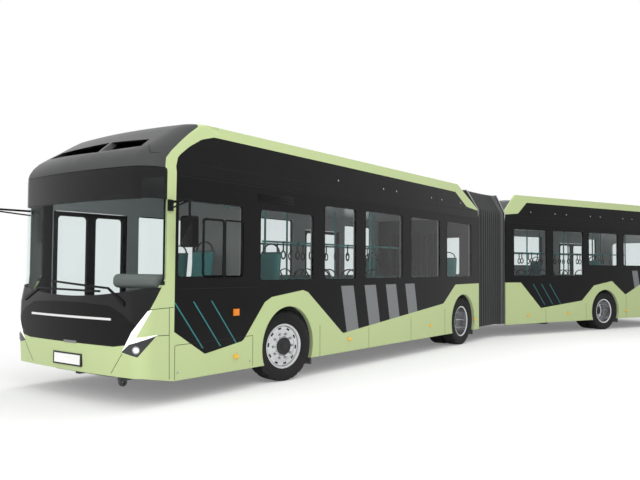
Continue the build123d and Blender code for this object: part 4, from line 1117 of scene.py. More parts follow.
class Feeler:
    """Finds points on the CAD nodes' skins."""

    trees: dict[str, BVHTree] = {}

    @classmethod
    def touch(cls, nodes: Sequence[str], start: Vector, way: Vector) -> tuple[Vector, Vector]:
        """Feels along a line for the first skin.

        Args:
            nodes: CAD nodes that may be hit.
            start: Start of the line in the row frame.
            way: Direction of the line.

        Returns:
            The point and the skin's outward direction there.
        """
        found = None
        for name in nodes:
            if name not in cls.trees:
                mesh = frame["nodes"][name].data
                corners = [vertex.co.copy() for vertex in mesh.vertices]
                faces = [tuple(face.vertices) for face in mesh.polygons]
                cls.trees[name] = BVHTree.FromPolygons(corners, faces)
            at, normal, _, far = cls.trees[name].ray_cast(start, way)
            if at is not None and (found is None or far < found[2]):
                found = (at, normal if normal.dot(way) < 0 else -normal, far)
        if found is None:
            raise ValueError(f"no skin of {nodes} from {tuple(start)}")
        return found[0], found[1]

    @classmethod
    def line(
        cls, nodes: Sequence[str], car: Car, points: Sequence[Point], way: Point, step: float = 0.06
    ) -> list[tuple[Vector, Vector]]:
        """Drops a polyline onto skins.

        Args:
            nodes: CAD nodes that may be hit.
            car: Car whose frame the points are in.
            points: Corners of the polyline.
            way: Direction of the drop in the car's frame.
            step: Longest step between the points felt for.

        Returns:
            Points and skin directions in the row frame.
        """
        drop = (car.place().to_3x3() @ Vector(way)).normalized()
        found = []
        for first, last in zip(points, points[1:]):
            first, last = Vector(first), Vector(last)
            count = max(1, math.ceil((last - first).length / step))
            for i in range(count + (last == Vector(points[-1]))):
                start = car.place() @ first.lerp(last, i / count)
                found.append(cls.touch(nodes, start - 1.5 * drop, drop))
        return found


def strip(name: str, found: Sequence[tuple[Vector, Vector]], width: float, thick: float) -> Piece:
    """Lays a narrow strip along a felt line.

    Args:
        name: Piece's name.
        found: Points and skin directions.
        width: Strip's width.
        thick: Strip's thickness.

    Returns:
        The strip.
    """
    rows: tuple[list[Vector], list[Vector]] = ([], [])
    last = len(found) - 1
    for i, (at, out) in enumerate(found):
        along = found[min(i + 1, last)][0] - found[max(i - 1, 0)][0]
        across = out.cross(along).normalized() * (width / 2)
        lift = out * (thick / 2)
        rows[0].append(at - across + lift)
        rows[1].append(at + across + lift)
    return Bench.band(name, rows, thick)


def mirrored(points: Sequence[Point], side: int) -> list[Point]:
    """Gives points on the left or, swapped over, on the right."""
    return [(x, side * y, z) for x, y, z in points]


class Skins:
    """Smooth copies of the CAD shells, which stand for their nodes."""

    ROUNDED = {"front_roof_packs": 0.03, "rear_roof_packs": 0.03, "driver_cab": 0.012, "tail_lamps": 0.006}
    LEFT_AS_CAD = (
        "front_glass", "rear_glass", "front_wall_left", "front_wall_right", "front_roof", "rear_wall_left",
        "rear_wall_right", "rear_roof",
    )
    MODELLED = ("front_seats", "rear_seats", "bellows", "front_rim_left", "front_rim_right")
    HUBS = {"front_mask": FRONT.point((1.0, 0, 0)), "rear_mask": REAR.point((-5.5, 0, 0))}

    def build(self) -> None:
        """Builds every skin."""
        for name, node in frame["nodes"].items():
            modelled = name in self.MODELLED or "tyre" in name
            if modelled or name in self.LEFT_AS_CAD or "door_glass" in name:
                continue
            skin = Bench.copy(node, f"{name}_skin", Matrix.Identity(4))
            Bench.weld(skin, turn_out=False)
            if name in self.ROUNDED:
                Bench.edit(skin, lambda face: True)
                bpy.ops.mesh.dissolve_limited(angle_limit=math.radians(3))
                Bench.done()
                Bench.round(skin, self.ROUNDED[name], 3)
            Bench.pick(skin)
            bpy.ops.object.shade_smooth_by_angle(angle=math.radians(32))
            Bench.apply(skin, "WEIGHTED_NORMAL", keep_sharp=True)
            if name in self.HUBS:
                self.mark_inside(skin, self.HUBS[name])
            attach(skin, body_of(node)[0])
            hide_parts(name)
        log.info("skins laid")

    @staticmethod
    def mark_inside(skin: Piece, hub: Vector) -> None:
        """Marks the faces that look towards a car's middle.

        Args:
            skin: The skin.
            hub: Point on the car's middle line.
        """
        inside = skin.data.attributes.new("inside", "FLOAT", "FACE")
        for face in skin.data.polygons:
            out = face.center - Vector((hub.x, hub.y, face.center.z))
            inside.data[face.index].value = 1.0 if face.normal.dot(out) < 0 else 0.0


@dataclass
class WheelSet(Maker):
    """Tyres with their tread, nuts and hub caps, and the steered wheels' alloy rims."""

    tyre_r: float = 0.479
    bead_r: float = 0.288
    groove: float = 0.013
    grooves: tuple[float, ...] = (0.074, 0.026, -0.026, -0.074)
    shoulder_r: float = 0.462
    shoulder: tuple[float, float] = (0.084, 0.124)
    lug_depth: float = 0.008
    hole_ring: tuple[float, float] = (0.230, 0.256)
    hole_depth: float = 0.012
    steps: int = 80
    twin_pitch: float = 0.32
    nut_ring: float = 0.168
    nuts: int = 10
    hub_r: float = 0.120
    twin_hub_r: float = 0.092
    nut_and_cap_y: tuple[float, float] = (0.086, 0.107)
    twin_nut_and_cap_y: tuple[float, float] = (-0.145, -0.060)

    def place(self, axle: str, hand: str) -> Matrix:
        """Gives a wheel's placement, with Y pointing outwards from the outer tyre's middle.

        Args:
            axle: Axle's name.
            hand: Left or right.

        Returns:
            The matrix in the row frame.
        """
        spin = joint(f"{axle}_wheel_spin_{hand}")
        side = 1 if hand == "left" else -1
        out = Vector(spin["axis"]).normalized() * side
        if axle == "front":
            centre = middle(f"front_tyre_{hand}")
        else:
            centre = middle(f"{axle}_tyres_{hand}") + out * self.twin_pitch / 2
        turn = Matrix((out.cross(Vector((0, 0, 1))), out, Vector((0, 0, 1)))).transposed()
        return Matrix.Translation(centre) @ turn.to_4x4()

    def section(self) -> Edge:
        """Draws the tyre's section with its grooves and sidewall rings.

        Returns:
            Radius and distance along the axis at each corner.
        """
        wall = [
            (self.bead_r, 0.099), (self.bead_r + 0.014, 0.106), (self.bead_r + 0.026, 0.111), (0.330, 0.122),
            (0.338, 0.126), (0.346, 0.127), (0.372, 0.1345), (0.395, 0.1362), (0.418, 0.1355),
            (0.424, 0.1335), (0.445, 0.130), (0.460, 0.1245), (0.468, 0.121), (0.4745, 0.116),
            (0.4785, 0.108),
        ]
        floor = self.tyre_r - self.groove
        notch = ((self.tyre_r, 0.007), (floor, 0.0045), (floor, -0.0045), (self.tyre_r, -0.007))
        tread = [(r, mid + shift) for mid in self.grooves for r, shift in notch]
        return wall + tread + [(r, -y) for r, y in reversed(wall)]

    def turn_of(self, at: Vector) -> float:
        """Gives the place of a point round the wheel, in steps of the spin."""
        return (math.atan2(at.z, at.x) + math.pi) / (2 * math.pi / self.steps)

    def lug_gap(self, face: bmesh.types.BMFace) -> bool:
        """Tells whether a face lies in a gap between shoulder lugs.

        Args:
            face: Face of the tyre.

        Returns:
            True in every fourth step, on the shoulder.
        """
        at = face.calc_center_median()
        low, high = self.shoulder
        on_shoulder = math.hypot(at.x, at.z) > self.shoulder_r and low < abs(at.y) < high
        return on_shoulder and round(self.turn_of(at) - 0.5) % 4 == 0

    def tyre(self) -> Piece:
        """Models one tyre at the origin.

        Returns:
            The tyre.
        """
        ring = Bench.turned("tyre_model", self.section(), self.steps)
        Bench.edit(ring, self.lug_gap)
        bpy.ops.mesh.extrude_region_move()
        bpy.ops.transform.shrink_fatten(value=-self.lug_depth)
        Bench.done()
        return ring

    def hand_hole(self, face: bmesh.types.BMFace) -> bool:
        """Tells whether a face lies in a hand hole.

        Args:
            face: Face of the rim.

        Returns:
            True in three of every eight steps, on the ring of holes.
        """
        at = face.calc_center_median()
        low, high = self.hole_ring
        on_ring = at.y > 0.07 and low < math.hypot(at.x, at.z) < high
        return on_ring and math.floor(self.turn_of(at)) % 8 < 3

    def rim(self) -> Piece:
        """Models one steered wheel's rim at the origin, with hand holes whose black floors are painted shade.

        Returns:
            The rim.
        """
        outline = (
            (0.288, 0.088), (0.300, 0.104), (0.3075, 0.108), (0.3075, 0.115), (0.301, 0.119), (0.290, 0.116),
            (0.277, 0.104), (0.271, 0.090), (0.266, 0.082), (0.258, 0.079), (0.228, 0.078), (0.218, 0.080),
            (0.200, 0.086), (0.192, 0.088), (0.144, 0.088), (0.136, 0.090), (0.130, 0.096), (0.124, 0.104),
            (0.112, 0.108), (0.0, 0.108), (0.0, 0.060), (0.100, 0.055), (0.120, 0.060), (0.255, 0.060),
            (0.268, 0.040), (0.270, -0.100), (0.300, -0.118), (0.3075, -0.112), (0.288, -0.088),
        )
        rim = Bench.turned("rim_model", outline, self.steps)
        for look in ("alloy", "black_plastic_and_hole_shade"):
            rim.data.materials.append(self.wardrobe[look])
        Bench.edit(rim, self.hand_hole)
        bpy.ops.mesh.inset(thickness=0.002)
        # The holes' floors take the black finish: painted shade for the dark inside of the holes
        rim.active_material_index = 1
        bpy.ops.object.material_slot_assign()
        bpy.ops.mesh.extrude_region_move(TRANSFORM_OT_translate={"value": (0.0, -self.hole_depth, 0.0)})
        Bench.done()
        return rim

    def nut(self) -> Piece:
        """Models one wheel nut on its washer at the origin.

        Returns:
            The nut.
        """
        washer = Bench.round(Bench.drum("washer", 0.0205, 0.006, (0, 0.003, 0), 20), 0.0015)
        body = Bench.round(Bench.drum("nut", 0.0165, 0.022, (0, 0.017, 0), 6), 0.002)
        return Bench.join("nut_model", [washer, body])

    def cap(self, radius: float) -> Piece:
        """Models a hub cap with a stepped rim at the origin.

        Args:
            radius: Cap's radius.

        Returns:
            The cap.
        """
        cap = Bench.drum("cap_model", radius, 0.012, (0, 0.006, 0), 48)
        Bench.edit(cap, facing((0, 1, 0)))
        for border, rise in ((radius * 0.2, -0.004), (radius * 0.35, 0.006)):
            bpy.ops.mesh.inset(thickness=border)
            bpy.ops.mesh.extrude_region_move(TRANSFORM_OT_translate={"value": (0.0, rise, 0.0)})
        Bench.done()
        return Bench.round(cap, 0.0015)

    def build(self) -> None:
        """Builds every wheel's pieces."""
        tyre, rim, nut = self.tyre(), self.rim(), self.nut()
        ring = [
            Matrix.Rotation(2 * math.pi * i / self.nuts, 4, "Y") @ Matrix.Translation((self.nut_ring, 0, 0))
            for i in range(self.nuts)
        ]
        nuts = Bench.repeat("nuts_model", nut, ring)
        caps = {"front": self.cap(self.hub_r), "drive": self.cap(self.twin_hub_r)}
        for axle in ("front", "drive", "trailer"):
            for hand in ("left", "right"):
                self.fit(axle, hand, tyre, rim, nuts, caps.get(axle, caps["drive"]))
        for model in (tyre, rim, nuts, *caps.values()):
            bpy.data.objects.remove(model)

    def fit(self, axle: str, hand: str, tyre: Piece, rim: Piece, nuts: Piece, cap: Piece) -> None:
        """Fits one wheel.

        Args:
            axle: Axle's name.
            hand: Left or right.
            tyre: Tyre's model.
            rim: Rim's model.
            nuts: Model of the ring of nuts.
            cap: Hub cap's model.
        """
        place = self.place(axle, hand)
        body = f"front_wheel_{hand}" if axle == "front" else f"{axle}_wheels_{hand}"
        shifts = (0.0,) if axle == "front" else (0.0, -self.twin_pitch)
        rings = [
            Bench.copy(tyre, f"{body}_ring_{i}", place @ Matrix.Translation((0, y, 0)))
            for i, y in enumerate(shifts)
        ]
        tread = Bench.join(f"{body}_tread", rings)
        self.hand_in(tread, "tyre_rubber", body, "tyre", 30.0)
        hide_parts(f"{axle}_tyre_{hand}" if axle == "front" else f"{axle}_tyres_{hand}")
        nut_y, cap_y = self.nut_and_cap_y if axle == "front" else self.twin_nut_and_cap_y
        if axle == "front":
            alloy = Bench.copy(rim, f"{body}_alloy", place)
            self.hand_in(alloy, "alloy", body, "rim_alloy", 30.0)
            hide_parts(f"front_rim_{hand}")
        studs = Bench.copy(nuts, f"{body}_nuts", place @ Matrix.Translation((0, nut_y, 0)))
        self.hand_in(studs, "steel", body, "rim_alloy", 25.0)
        hub = Bench.copy(cap, f"{body}_hub_cap", place @ Matrix.Translation((0, cap_y, 0)))
        self.hand_in(hub, "black_plastic_and_hole_shade", body, "chassis_black", 30.0)


@dataclass
class BellowsCover(Maker):
    """Pleated cover between the cars."""

    start_x: float = -6.43
    pivot_x: float = -7.85
    rear_front: float = -0.43
    half: float = 1.25
    top: float = 3.27
    shoulder_z: float = 2.84
    shoulder_in: float = 0.26
    low: float = 0.30
    folds: int = 14
    depth: float = 0.06
    per_fold: int = 8
    thick: float = 0.003
    roof_z: float = 2.60

    def station(self, share: float) -> Matrix:
        """Gives the placement across the cover at a share of its length.

        Args:
            share: Share of the length from the front car.

        Returns:
            The matrix from (inward, across, up) to the row frame.
        """
        turn = REAR.turn - FRONT.turn
        x, y = self.rear_front * math.cos(turn), self.rear_front * math.sin(turn)
        span = Vector((self.pivot_x + x - self.start_x, y))
        reach = span.length
        ends = (Vector((-1.0, 0.0)) * reach, Vector((-math.cos(turn), -math.sin(turn))) * reach)
        t = share
        at = (3 * t**2 - 2 * t**3) * span + (t**3 - 2 * t**2 + t) * ends[0] + (t**3 - t**2) * ends[1]
        way = (6 * t - 6 * t**2) * span + (3 * t**2 - 4 * t + 1) * ends[0] + (3 * t**2 - 2 * t) * ends[1]
        place = Matrix.Rotation(math.atan2(-way.y, -way.x), 4, "Z")
        place.translation = (self.start_x + at.x, at.y, 0.0)
        return FRONT.place() @ place

    def arch(self, inset: float) -> Edge:
        """Draws one hoop of the cover.

        Args:
            inset: How far it lies inside the outline.

        Returns:
            Across and up at each corner, from the left foot over the top to the right foot.
        """
        half, top = self.half - inset, self.top - inset
        corners = [(half, self.low), (half, self.shoulder_z), (half - self.shoulder_in, top), (0.0, top)]
        left: list[tuple[float, float]] = []
        for (y0, z0), (y1, z1), count in zip(corners, corners[1:], (14, 7, 8)):
            left += [(y0 + (y1 - y0) * i / count, z0 + (z1 - z0) * i / count) for i in range(count)]
        return left + [(0.0, top)] + [(-y, z) for y, z in reversed(left)]

    def build(self) -> None:
        """Builds the cover, its end hoops and its bulkheads."""
        count = self.folds * self.per_fold
        rows, ridges = [], []
        for i in range(count + 1):
            phase = 0.5 - 0.5 * math.cos(2 * math.pi * i / self.per_fold)
            sink = self.depth * phase**0.8
            place = self.station(i / count)
            row = [place @ Vector((0.0, y, z)) for y, z in self.arch(sink + 0.004)]
            rows.append(row)
            # Painted highlight on each fold's ridge, at full strength over the last fifth of the cover next
            # to the rear car and weaker elsewhere
            bright = 1.0 if i > count * 0.80 else 0.42
            ridges.append((1.0 - phase) ** 5 * bright)
        wide = len(rows[0])
        cover = Bench.grid("bellows_cover", rows)
        ridge = cover.data.attributes.new("ridge", "FLOAT", "POINT")
        ridge.data.foreach_set("value", [ridges[i // wide] for i in range(len(rows) * wide)])
        Bench.apply(cover, "SOLIDIFY", thickness=self.thick, offset=0.0)
        self.hand_in(cover, "bellows_cloth", "", "bellows_fabric", 60.0)
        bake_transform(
            cover, "front_car", "rear_car",
            start=tuple(self.station(0.02).translation), end=tuple(self.station(0.98).translation),
        )
        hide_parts("bellows")
        for end, share in (("front", 0.006), ("rear", 0.994)):
            place = self.station(share)
            rows = [[place @ Vector((x, y, z)) for y, z in self.arch(-0.004)] for x in (-0.014, 0.014)]
            hoop = Bench.band(f"bellows_hoop_{end}", rows, 0.012)
            self.hand_in(hoop, "steel", f"{end}_car", "chassis_black", 30.0)
        self.bulkheads()

    def bulkheads(self) -> None:
        """Closes the cover above each car's roof with a stiffened plate."""
        for end, share in (("front", 0.0), ("rear", 1.0)):
            place = self.station(share)
            top = [(y, z) for y, z in self.arch(0.012) if z > self.roof_z]
            foot = [(y, self.roof_z) for y, _ in top]
            rows = [[place @ Vector((0.0, y, z)) for y, z in row] for row in (top, foot)]
            plate = Bench.band(f"bulkhead_{end}", rows, 0.016)
            Bench.edit(plate, lambda face: abs(face.normal.z) < 0.5 and face.calc_area() > 0.02)
            bpy.ops.mesh.inset(thickness=0.025)
            bpy.ops.mesh.extrude_region_shrink_fatten(TRANSFORM_OT_shrink_fatten={"value": -0.004})
            Bench.done()
            self.hand_in(plate, "black_plastic_and_hole_shade", f"{end}_car", "chassis_black", 30.0)


def seat_pairs(side: int, stations: Sequence[float]) -> tuple[SeatRow, ...]:
    """Gives rows of two seats along a side: X, inner and outer Y, and side."""
    return tuple((x, 0.385, 1.19, side) for x in stations)


@dataclass
class Seating(Maker):
    """Seats of both cars: a padded cushion and back on a shell, with an arched handle."""

    floor: float = 0.34
    width: float = 0.385
    pitch: float = 0.42
    pressure: float = 4.0
    frames: int = 12
    most_swell: float = 0.012
    crown: float = 0.008
    channel: float = 0.004
    front_rows: tuple[SeatRow, ...] = (
        seat_pairs(1, (-0.85, -1.6, -2.35, -3.1, -3.85)) + seat_pairs(-1, (-0.85, -1.6, -2.35, -3.05))
    )
    rear_rows: tuple[SeatRow, ...] = (
        seat_pairs(1, (-1.0, -1.75, -2.5, -3.17, -5.05, -5.8, -6.55))
        + seat_pairs(-1, (-1.0, -1.75, -2.5, -3.17))
        + ((-7.05, 0.015, 1.10, 1), (-7.05, 0.015, 1.10, -1))
    )
    driver: SeatRow = (1.38, 0.53, 0.95, 1)
    raised: float = 0.70
    housing_r: float = 0.597
    ahead_of_axle: float = 0.30
    over_wheel_y: tuple[float, float] = (0.74, 1.16)
    axles: tuple[tuple[str, str], ...] = (
        ("front_tyre", "front_car"), ("drive_tyres", "front_car"), ("trailer_tyres", "rear_car"),
    )

    def pad(self, name: str, size: Point, at: Point, lean: float) -> Piece:
        """Models one pad: a block rounded, divided, and plumped by pressure.

        Args:
            name: Piece's name.
            size: Pad's size.
            at: Its middle.
            lean: Turn about Y, in radians.

        Returns:
            The pad at its place on a seat that stands on the origin.
        """
        pad = Bench.block(name, size)
        Bench.round(pad, 0.018, 2)
        Bench.edit(pad, lambda face: face.calc_area() > 0.004)
        bpy.ops.mesh.subdivide(number_cuts=9)
        Bench.done()
        before = [vertex.co.copy() for vertex in pad.data.vertices]
        cloth = pad.modifiers.new("plump", "CLOTH")
        cloth.settings.use_pressure = True
        cloth.settings.uniform_pressure_force = self.pressure
        cloth.settings.effector_weights.gravity = 0.0
        cloth.collision_settings.use_collision = False
        for step in range(1, self.frames + 1):
            bpy.context.scene.frame_set(step)
        Bench.pick(pad)
        bpy.ops.object.modifier_apply(modifier=cloth.name)
        bpy.context.scene.frame_set(1)
        flat = size[0] > size[2]
        face = Vector((0, 0, 1)) if flat else Vector((1, 0, 0))
        for vertex, old in zip(pad.data.vertices, before):
            moved = vertex.co - old
            if moved.length > self.most_swell:
                vertex.co = old + moved.normalized() * self.most_swell
            across, along = 1 - (2 * old.y / size[1]) ** 2, 1 - (2 * old.x / size[0]) ** 2 if flat else 1.0
            inward = self.channel * math.exp(-((abs(old.y) - size[1] * 0.30) / 0.008) ** 2)
            if old.dot(face) > 0:
                vertex.co += face * (self.crown * (across * along) - inward)
        pad.data.transform(Matrix.Translation(at) @ Matrix.Rotation(lean, 4, "Y"))
        return pad

    def models(self) -> dict[str, Piece]:
        """Models the pieces of one seat, with its front at +X and the floor at Z 0.

        Returns:
            The pieces by name.
        """
        w = self.width
        shell = Bench.block("shell_model", (0.022, w - 0.02, 0.66), (-0.232, 0, 0.75))
        Bench.step(shell, facing((-1, 0, 0)), 0.05, (-0.012, 0.0, 0.0))
        hinge = Matrix.Translation((-0.25, 0, 0.42))
        shell.data.transform(hinge @ Matrix.Rotation(-0.085, 4, "Y") @ hinge.inverted())
        base = Bench.block("base_model", (0.40, w - 0.02, 0.03), (0.0, 0, 0.375))
        leg = Bench.block("leg_model", (0.11, 0.05, 0.36), (-0.02, 0, 0.18))
        Bench.edit(leg, facing((0, 0, -1)))
        bpy.ops.transform.resize(value=(1.5, 1.6, 1.0))
        Bench.done()
        frame_piece = Bench.round(Bench.join("shell_model", [shell, base]), 0.008)
        handle = Bench.hoop("handle_model", 0.15, 0.0125, (0, 0, 0), (0, math.pi / 2, 0))
        Bench.halve(handle, (0, 0, 0), (0, 0, 1))
        handle.data.transform(Matrix.Translation((-0.286, 0, 1.065)) @ Matrix.Diagonal((1, 1, 0.85, 1)))
        return {
            "cushions": self.pad("cushion_model", (0.405, w, 0.05), (0.012, 0, 0.411), -0.04),
            "backs": self.pad("back_model", (0.036, w, 0.60), (-0.2325, 0, 0.765), -0.085),
            "shells": frame_piece,
            "handles": handle,
            "legs": Bench.round(leg, 0.008),
        }

    def build(self) -> None:
        """Builds the seats of both cars."""
        models = self.models()
        looks = {
            "cushions": ("seat_cloth", "seat_fabric"), "backs": ("seat_cloth", "seat_fabric"),
            "shells": ("seat_shell", "seat_fabric"), "handles": ("black_plastic_and_hole_shade", "cab_grey"),
            "legs": ("seat_shell", "seat_fabric"),
        }
        for car, body, rows in ((FRONT, "front_car", self.front_rows), (REAR, "rear_car", self.rear_rows)):
            low = self.places(car, rows, self.floor)
            over_wheels = [
                (self.axle_x(car, tyre) + self.ahead_of_axle, *self.over_wheel_y, side)
                for tyre, carrier in self.axles if carrier == body for side in SIDES
            ]
            high = self.places(car, over_wheels + ([self.driver] if car is FRONT else []), self.raised)
            self.plinths(car, body)
            for key, model in models.items():
                look, slot = looks[key]
                spots = low if key == "legs" else low + high
                copies = [Bench.copy(model, f"{body}_{key}_{i}", place) for i, place in enumerate(spots)]
                piece = Bench.join(f"{body}_seat_{key}", copies)
                self.hand_in(piece, look, body, slot, 60.0)
                if key == "cushions":
                    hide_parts("front_seats" if body == "front_car" else "rear_seats")
        for model in models.values():
            bpy.data.objects.remove(model)
        self.pedestal()

    def places(self, car: Car, rows: Sequence[SeatRow], floor: float) -> list[Matrix]:
        """Works out where seats stand.

        Args:
            car: The car.
            rows: Rows of seats: X, inner and outer Y, and side.
            floor: Height the seats stand on.

        Returns:
            One placement for each seat.
        """
        found = []
        for x, inner, outer, side in rows:
            count = max(1, round((outer - inner) / self.pitch))
            pitch = (outer - inner) / count
            for i in range(count):
                y = side * (inner + (i + 0.5) * pitch)
                found.append(car.place() @ Matrix.Translation((x, y, floor)))
        return found

    def axle_x(self, car: Car, tyre: str) -> float:
        """Finds an axle's place along its car."""
        spot = (middle(f"{tyre}_left") + middle(f"{tyre}_right")) / 2
        return (car.place().inverted() @ spot).x

    def plinths(self, car: Car, body: str) -> None:
        """Stands the raised seats on plinths that follow the wheel housings.

        Args:
            car: The car.
            body: Its body.
        """
        plinths = []
        for tyre, carrier in self.axles:
            if carrier != body:
                continue
            axle, hub = self.axle_x(car, tyre), middle(f"{tyre}_left").z
            for side in SIDES:
                rows: list[list[Vector]] = [[], []]
                for i in range(11):
                    out = 0.08 + 0.042 * i
                    top = self.raised + 0.362
                    rows[0].append(car.point((axle + out, side * 0.95, top)))
                    crown = hub + math.sqrt(self.housing_r**2 - out**2) - 0.008
                    rows[1].append(car.point((axle + out, side * 0.95, min(crown, top - 0.01))))
                plinths.append(Bench.round(Bench.band(f"{body}_{tyre}_{side}", rows, 0.36), 0.006))
        piece = Bench.join(f"{body}_seat_plinths", plinths)
        self.hand_in(piece, "cab_plastic", body, "cab_grey", 30.0)

    def pedestal(self) -> None:
        """Stands the driver's seat on a flared pedestal."""
        x, inner, outer, _ = self.driver
        tall = self.raised + 0.36 - self.floor
        at = FRONT.point((x, (inner + outer) / 2, self.floor + tall / 2))
        stand = Bench.block("driver_pedestal", (0.26, 0.26, tall), at)
        Bench.edit(stand, facing((0, 0, -1)))
        bpy.ops.transform.resize(value=(1.5, 1.4, 1.0))
        Bench.done()
        self.hand_in(Bench.round(stand, 0.02, 3), "cab_plastic", "front_car", "cab_grey")


@dataclass
class Straps(Maker):
    """Hand straps along the rails."""

    rail_y: float = 0.368
    rail_z: float = 1.96
    pitch: float = 0.36

    def build(self) -> None:
        """Builds the straps of both cars."""
        loop = Bench.hoop("loop_model", 0.048, 0.011, (0, 0, -0.20), (math.pi / 2, 0, 0))
        hang = Matrix.Translation((0, 0, -0.20))
        loop.data.transform(hang @ Matrix.Diagonal((1, 1, 1.25, 1)) @ hang.inverted())
        band = Bench.round(Bench.block("band_model", (0.032, 0.008, 0.16), (0, 0, -0.075)), 0.002)
        clip = Bench.round(Bench.block("clip_model", (0.034, 0.046, 0.036), (0, 0, 0)), 0.010, 3)
        strap = Bench.join("strap_model", [loop, band, clip])
        spans = ((FRONT, "front_car", -4.7, -0.6), (REAR, "rear_car", -6.1, -0.75))
        for car, body, low, high in spans:
            stations = [low + self.pitch * (i + 0.4) for i in range(int((high - low) / self.pitch))]
            places = [
                car.place() @ Matrix.Translation((x, side * self.rail_y, self.rail_z))
                for x in stations for side in SIDES
            ]
            copies = [Bench.copy(strap, f"{body}_strap_{i}", place) for i, place in enumerate(places)]
            piece = Bench.join(f"{body}_straps", copies)
            self.hand_in(piece, "black_plastic_and_hole_shade", body, "pole_paint")
        bpy.data.objects.remove(strap)


@dataclass
class FrontEnd(Maker):
    """Plate, bar, lamps, seams, display, dome liner, post trim and dash of the bus's face."""

    face: tuple[str, ...] = ("front_mask", "front_panel", "headlamps", "windscreen")
    plate: tuple[float, float] = (0.52, 0.112)
    plate_z: float = 0.475
    bar_z: float = 0.975
    latch_z: float = 0.682
    seam: tuple[float, float] = (0.006, 0.0012)
    lamp_spot: Point = (2.507, 1.174, 0.653)
    post_rows: Edge = ((1.24, 2.33), (1.34, 2.265), (1.45, 2.20), (1.74, 2.20), (2.04, 2.20), (2.33, 2.20))
    post_front: float = 2.42
    hood: Point = (0.30, 0.86, 0.17)
    hood_at: Point = (1.98, 0.62, 1.39)

    def lay(
        self, name: str, points: Sequence[Point], width: float, thick: float, look: str, way: Point
    ) -> None:
        """Lays a strip on the face.

        Args:
            name: Piece's name.
            points: Corners of the strip's line.
            width: Its width.
            thick: Its thickness.
            look: Its finish.
            way: Direction in which the line is dropped.
        """
        found = Feeler.line(self.face, FRONT, points, way, 0.04)
        piece = strip(name, found, width, thick)
        self.hand_in(piece, look, "front_car", "body_black")

    def plates(self) -> None:
        """Fits the blank plate in its frame."""
        at, _ = Feeler.touch(self.face, FRONT.point((4.0, 0.01, self.plate_z)), Vector((-1, 0, 0)))
        wide, tall = self.plate
        holder = Bench.block("plate_frame", (0.022, wide + 0.05, tall + 0.036), (at.x + 0.003, at.y, at.z))
        Bench.step(holder, facing((1, 0, 0)), 0.012, (-0.004, 0.0, 0.0))
        Bench.round(holder, 0.004)
        self.hand_in(holder, "black_plastic_and_hole_shade", "front_car", "chassis_black")
        blank = Bench.block("plate_blank", (0.003, wide, tall), (at.x + 0.0125, at.y, at.z))
        Bench.step(blank, facing((1, 0, 0)), 0.005, (-0.0008, 0.0, 0.0))
        self.hand_in(Bench.round(blank, 0.0006), "plate_enamel", "front_car", "lamp_lens")

    def projectors(self) -> None:
        """Fits the round projector into each headlamp."""
        for side, hand in zip(SIDES, ("left", "right")):
            way = Vector((-0.72, -0.69 * side, 0.0)).normalized()
            start = FRONT.point(mirrored([self.lamp_spot], side)[0]) - way
            at, out = Feeler.touch(("headlamps",), start, way)
            turn = Vector((0, 1, 0)).rotation_difference(out).to_matrix().to_4x4()
            place = Matrix.Translation(at - out * 0.006) @ turn
            bezel = Bench.drum("bezel", 0.044, 0.016, (0, 0.004, 0), 32)
            Bench.step(bezel, facing((0, 1, 0)), 0.008, (0.0, -0.006, 0.0))
            bezel.data.transform(place)
            bezel.name = f"projector_bezel_{hand}"
            self.hand_in(Bench.round(bezel, 0.0015), "steel", "front_car", "lamp_lens")
            Bench.clear()
            bpy.ops.mesh.primitive_uv_sphere_add(segments=28, ring_count=14, radius=0.034)
            lens = Bench.halve(Bench.named(f"projector_lens_{hand}"), (0, 0.012, 0), (0, 1, 0))
            lens.data.transform(place @ Matrix.Translation((0, -0.008, 0)) @ Matrix.Diagonal((1, 0.75, 1, 1)))
            self.hand_in(lens, "lit_lens", "front_car", "lamp_lens")

    def seams(self) -> None:
        """Draws the joints between the face's panels."""
        ahead = (-1.0, 0.0, 0.0)
        bar = [(2.6, -0.80, self.bar_z), (2.6, 0.81, self.bar_z)]
        self.lay("bright_bar", bar, 0.026, 0.010, "brushed_bar", ahead)
        hatch = [(2.6, -0.05, self.latch_z), (2.6, 0.20, self.latch_z)]
        self.lay("lid_latch", hatch, 0.030, 0.006, "cab_plastic", ahead)
        for side, hand in zip(SIDES, ("left", "right")):
            inward = (0.0, -1.0 * side, 0.0)
            panel = mirrored([(2.6, 1.07, 2.95), (2.6, 1.17, 2.85), (2.6, 1.225, 2.852)], side)
            found = Feeler.line(("front_dome",), FRONT, panel, ahead, 0.03)
            seam = strip(f"dome_seam_{hand}", found, 0.008, 0.0012)
            self.hand_in(seam, "seam_shadow", "front_car", "body_black")
            lines = (
                ("bumper_seam", [(2.6, 0.985, 0.604), (2.6, 0.793, 0.373)], ahead),
                ("corner_seam", [(2.136, 1.4, 1.105), (2.122, 1.4, 0.300)], inward),
                ("corner_top_seam", [(2.40, 1.4, 1.095), (2.07, 1.4, 1.105)], inward),
                ("corner_low_seam", [(2.30, 1.4, 0.80), (2.135, 1.4, 0.795)], inward),
            )
            for name, points, way in lines:
                self.lay(f"{name}_{hand}", mirrored(points, side), *self.seam, "seam_shadow", way)

    @staticmethod
    def screen_at(y: float, z: float) -> Vector:
        """Finds the windscreen's outer face straight ahead of a place."""
        return Feeler.touch(("windscreen",), FRONT.point((4.0, y, z)), Vector((-1, 0, 0)))[0]

    def sign_case(self) -> None:
        """Builds the blank destination display behind the windscreen."""
        for name, low, high, reach, shift, gap, look in (
            ("sign_case", 2.325, 2.675, 1.12, 0.0, 0.060, "black_plastic_and_hole_shade"),
            ("sign_display", 2.385, 2.615, 0.78, 0.16, 0.046, "gloss_black"),
        ):
            rows: list[list[Vector]] = [[], []]
            for i in range(25):
                y = reach * (i / 12 - 1) + shift
                for row, z in zip(rows, (low, high)):
                    row.append(self.screen_at(y, z) - Vector((gap, 0, 0)))
            case = Bench.band(name, rows, 0.012)
            self.hand_in(Bench.round(case, 0.003), look, "front_car", "cab_grey")

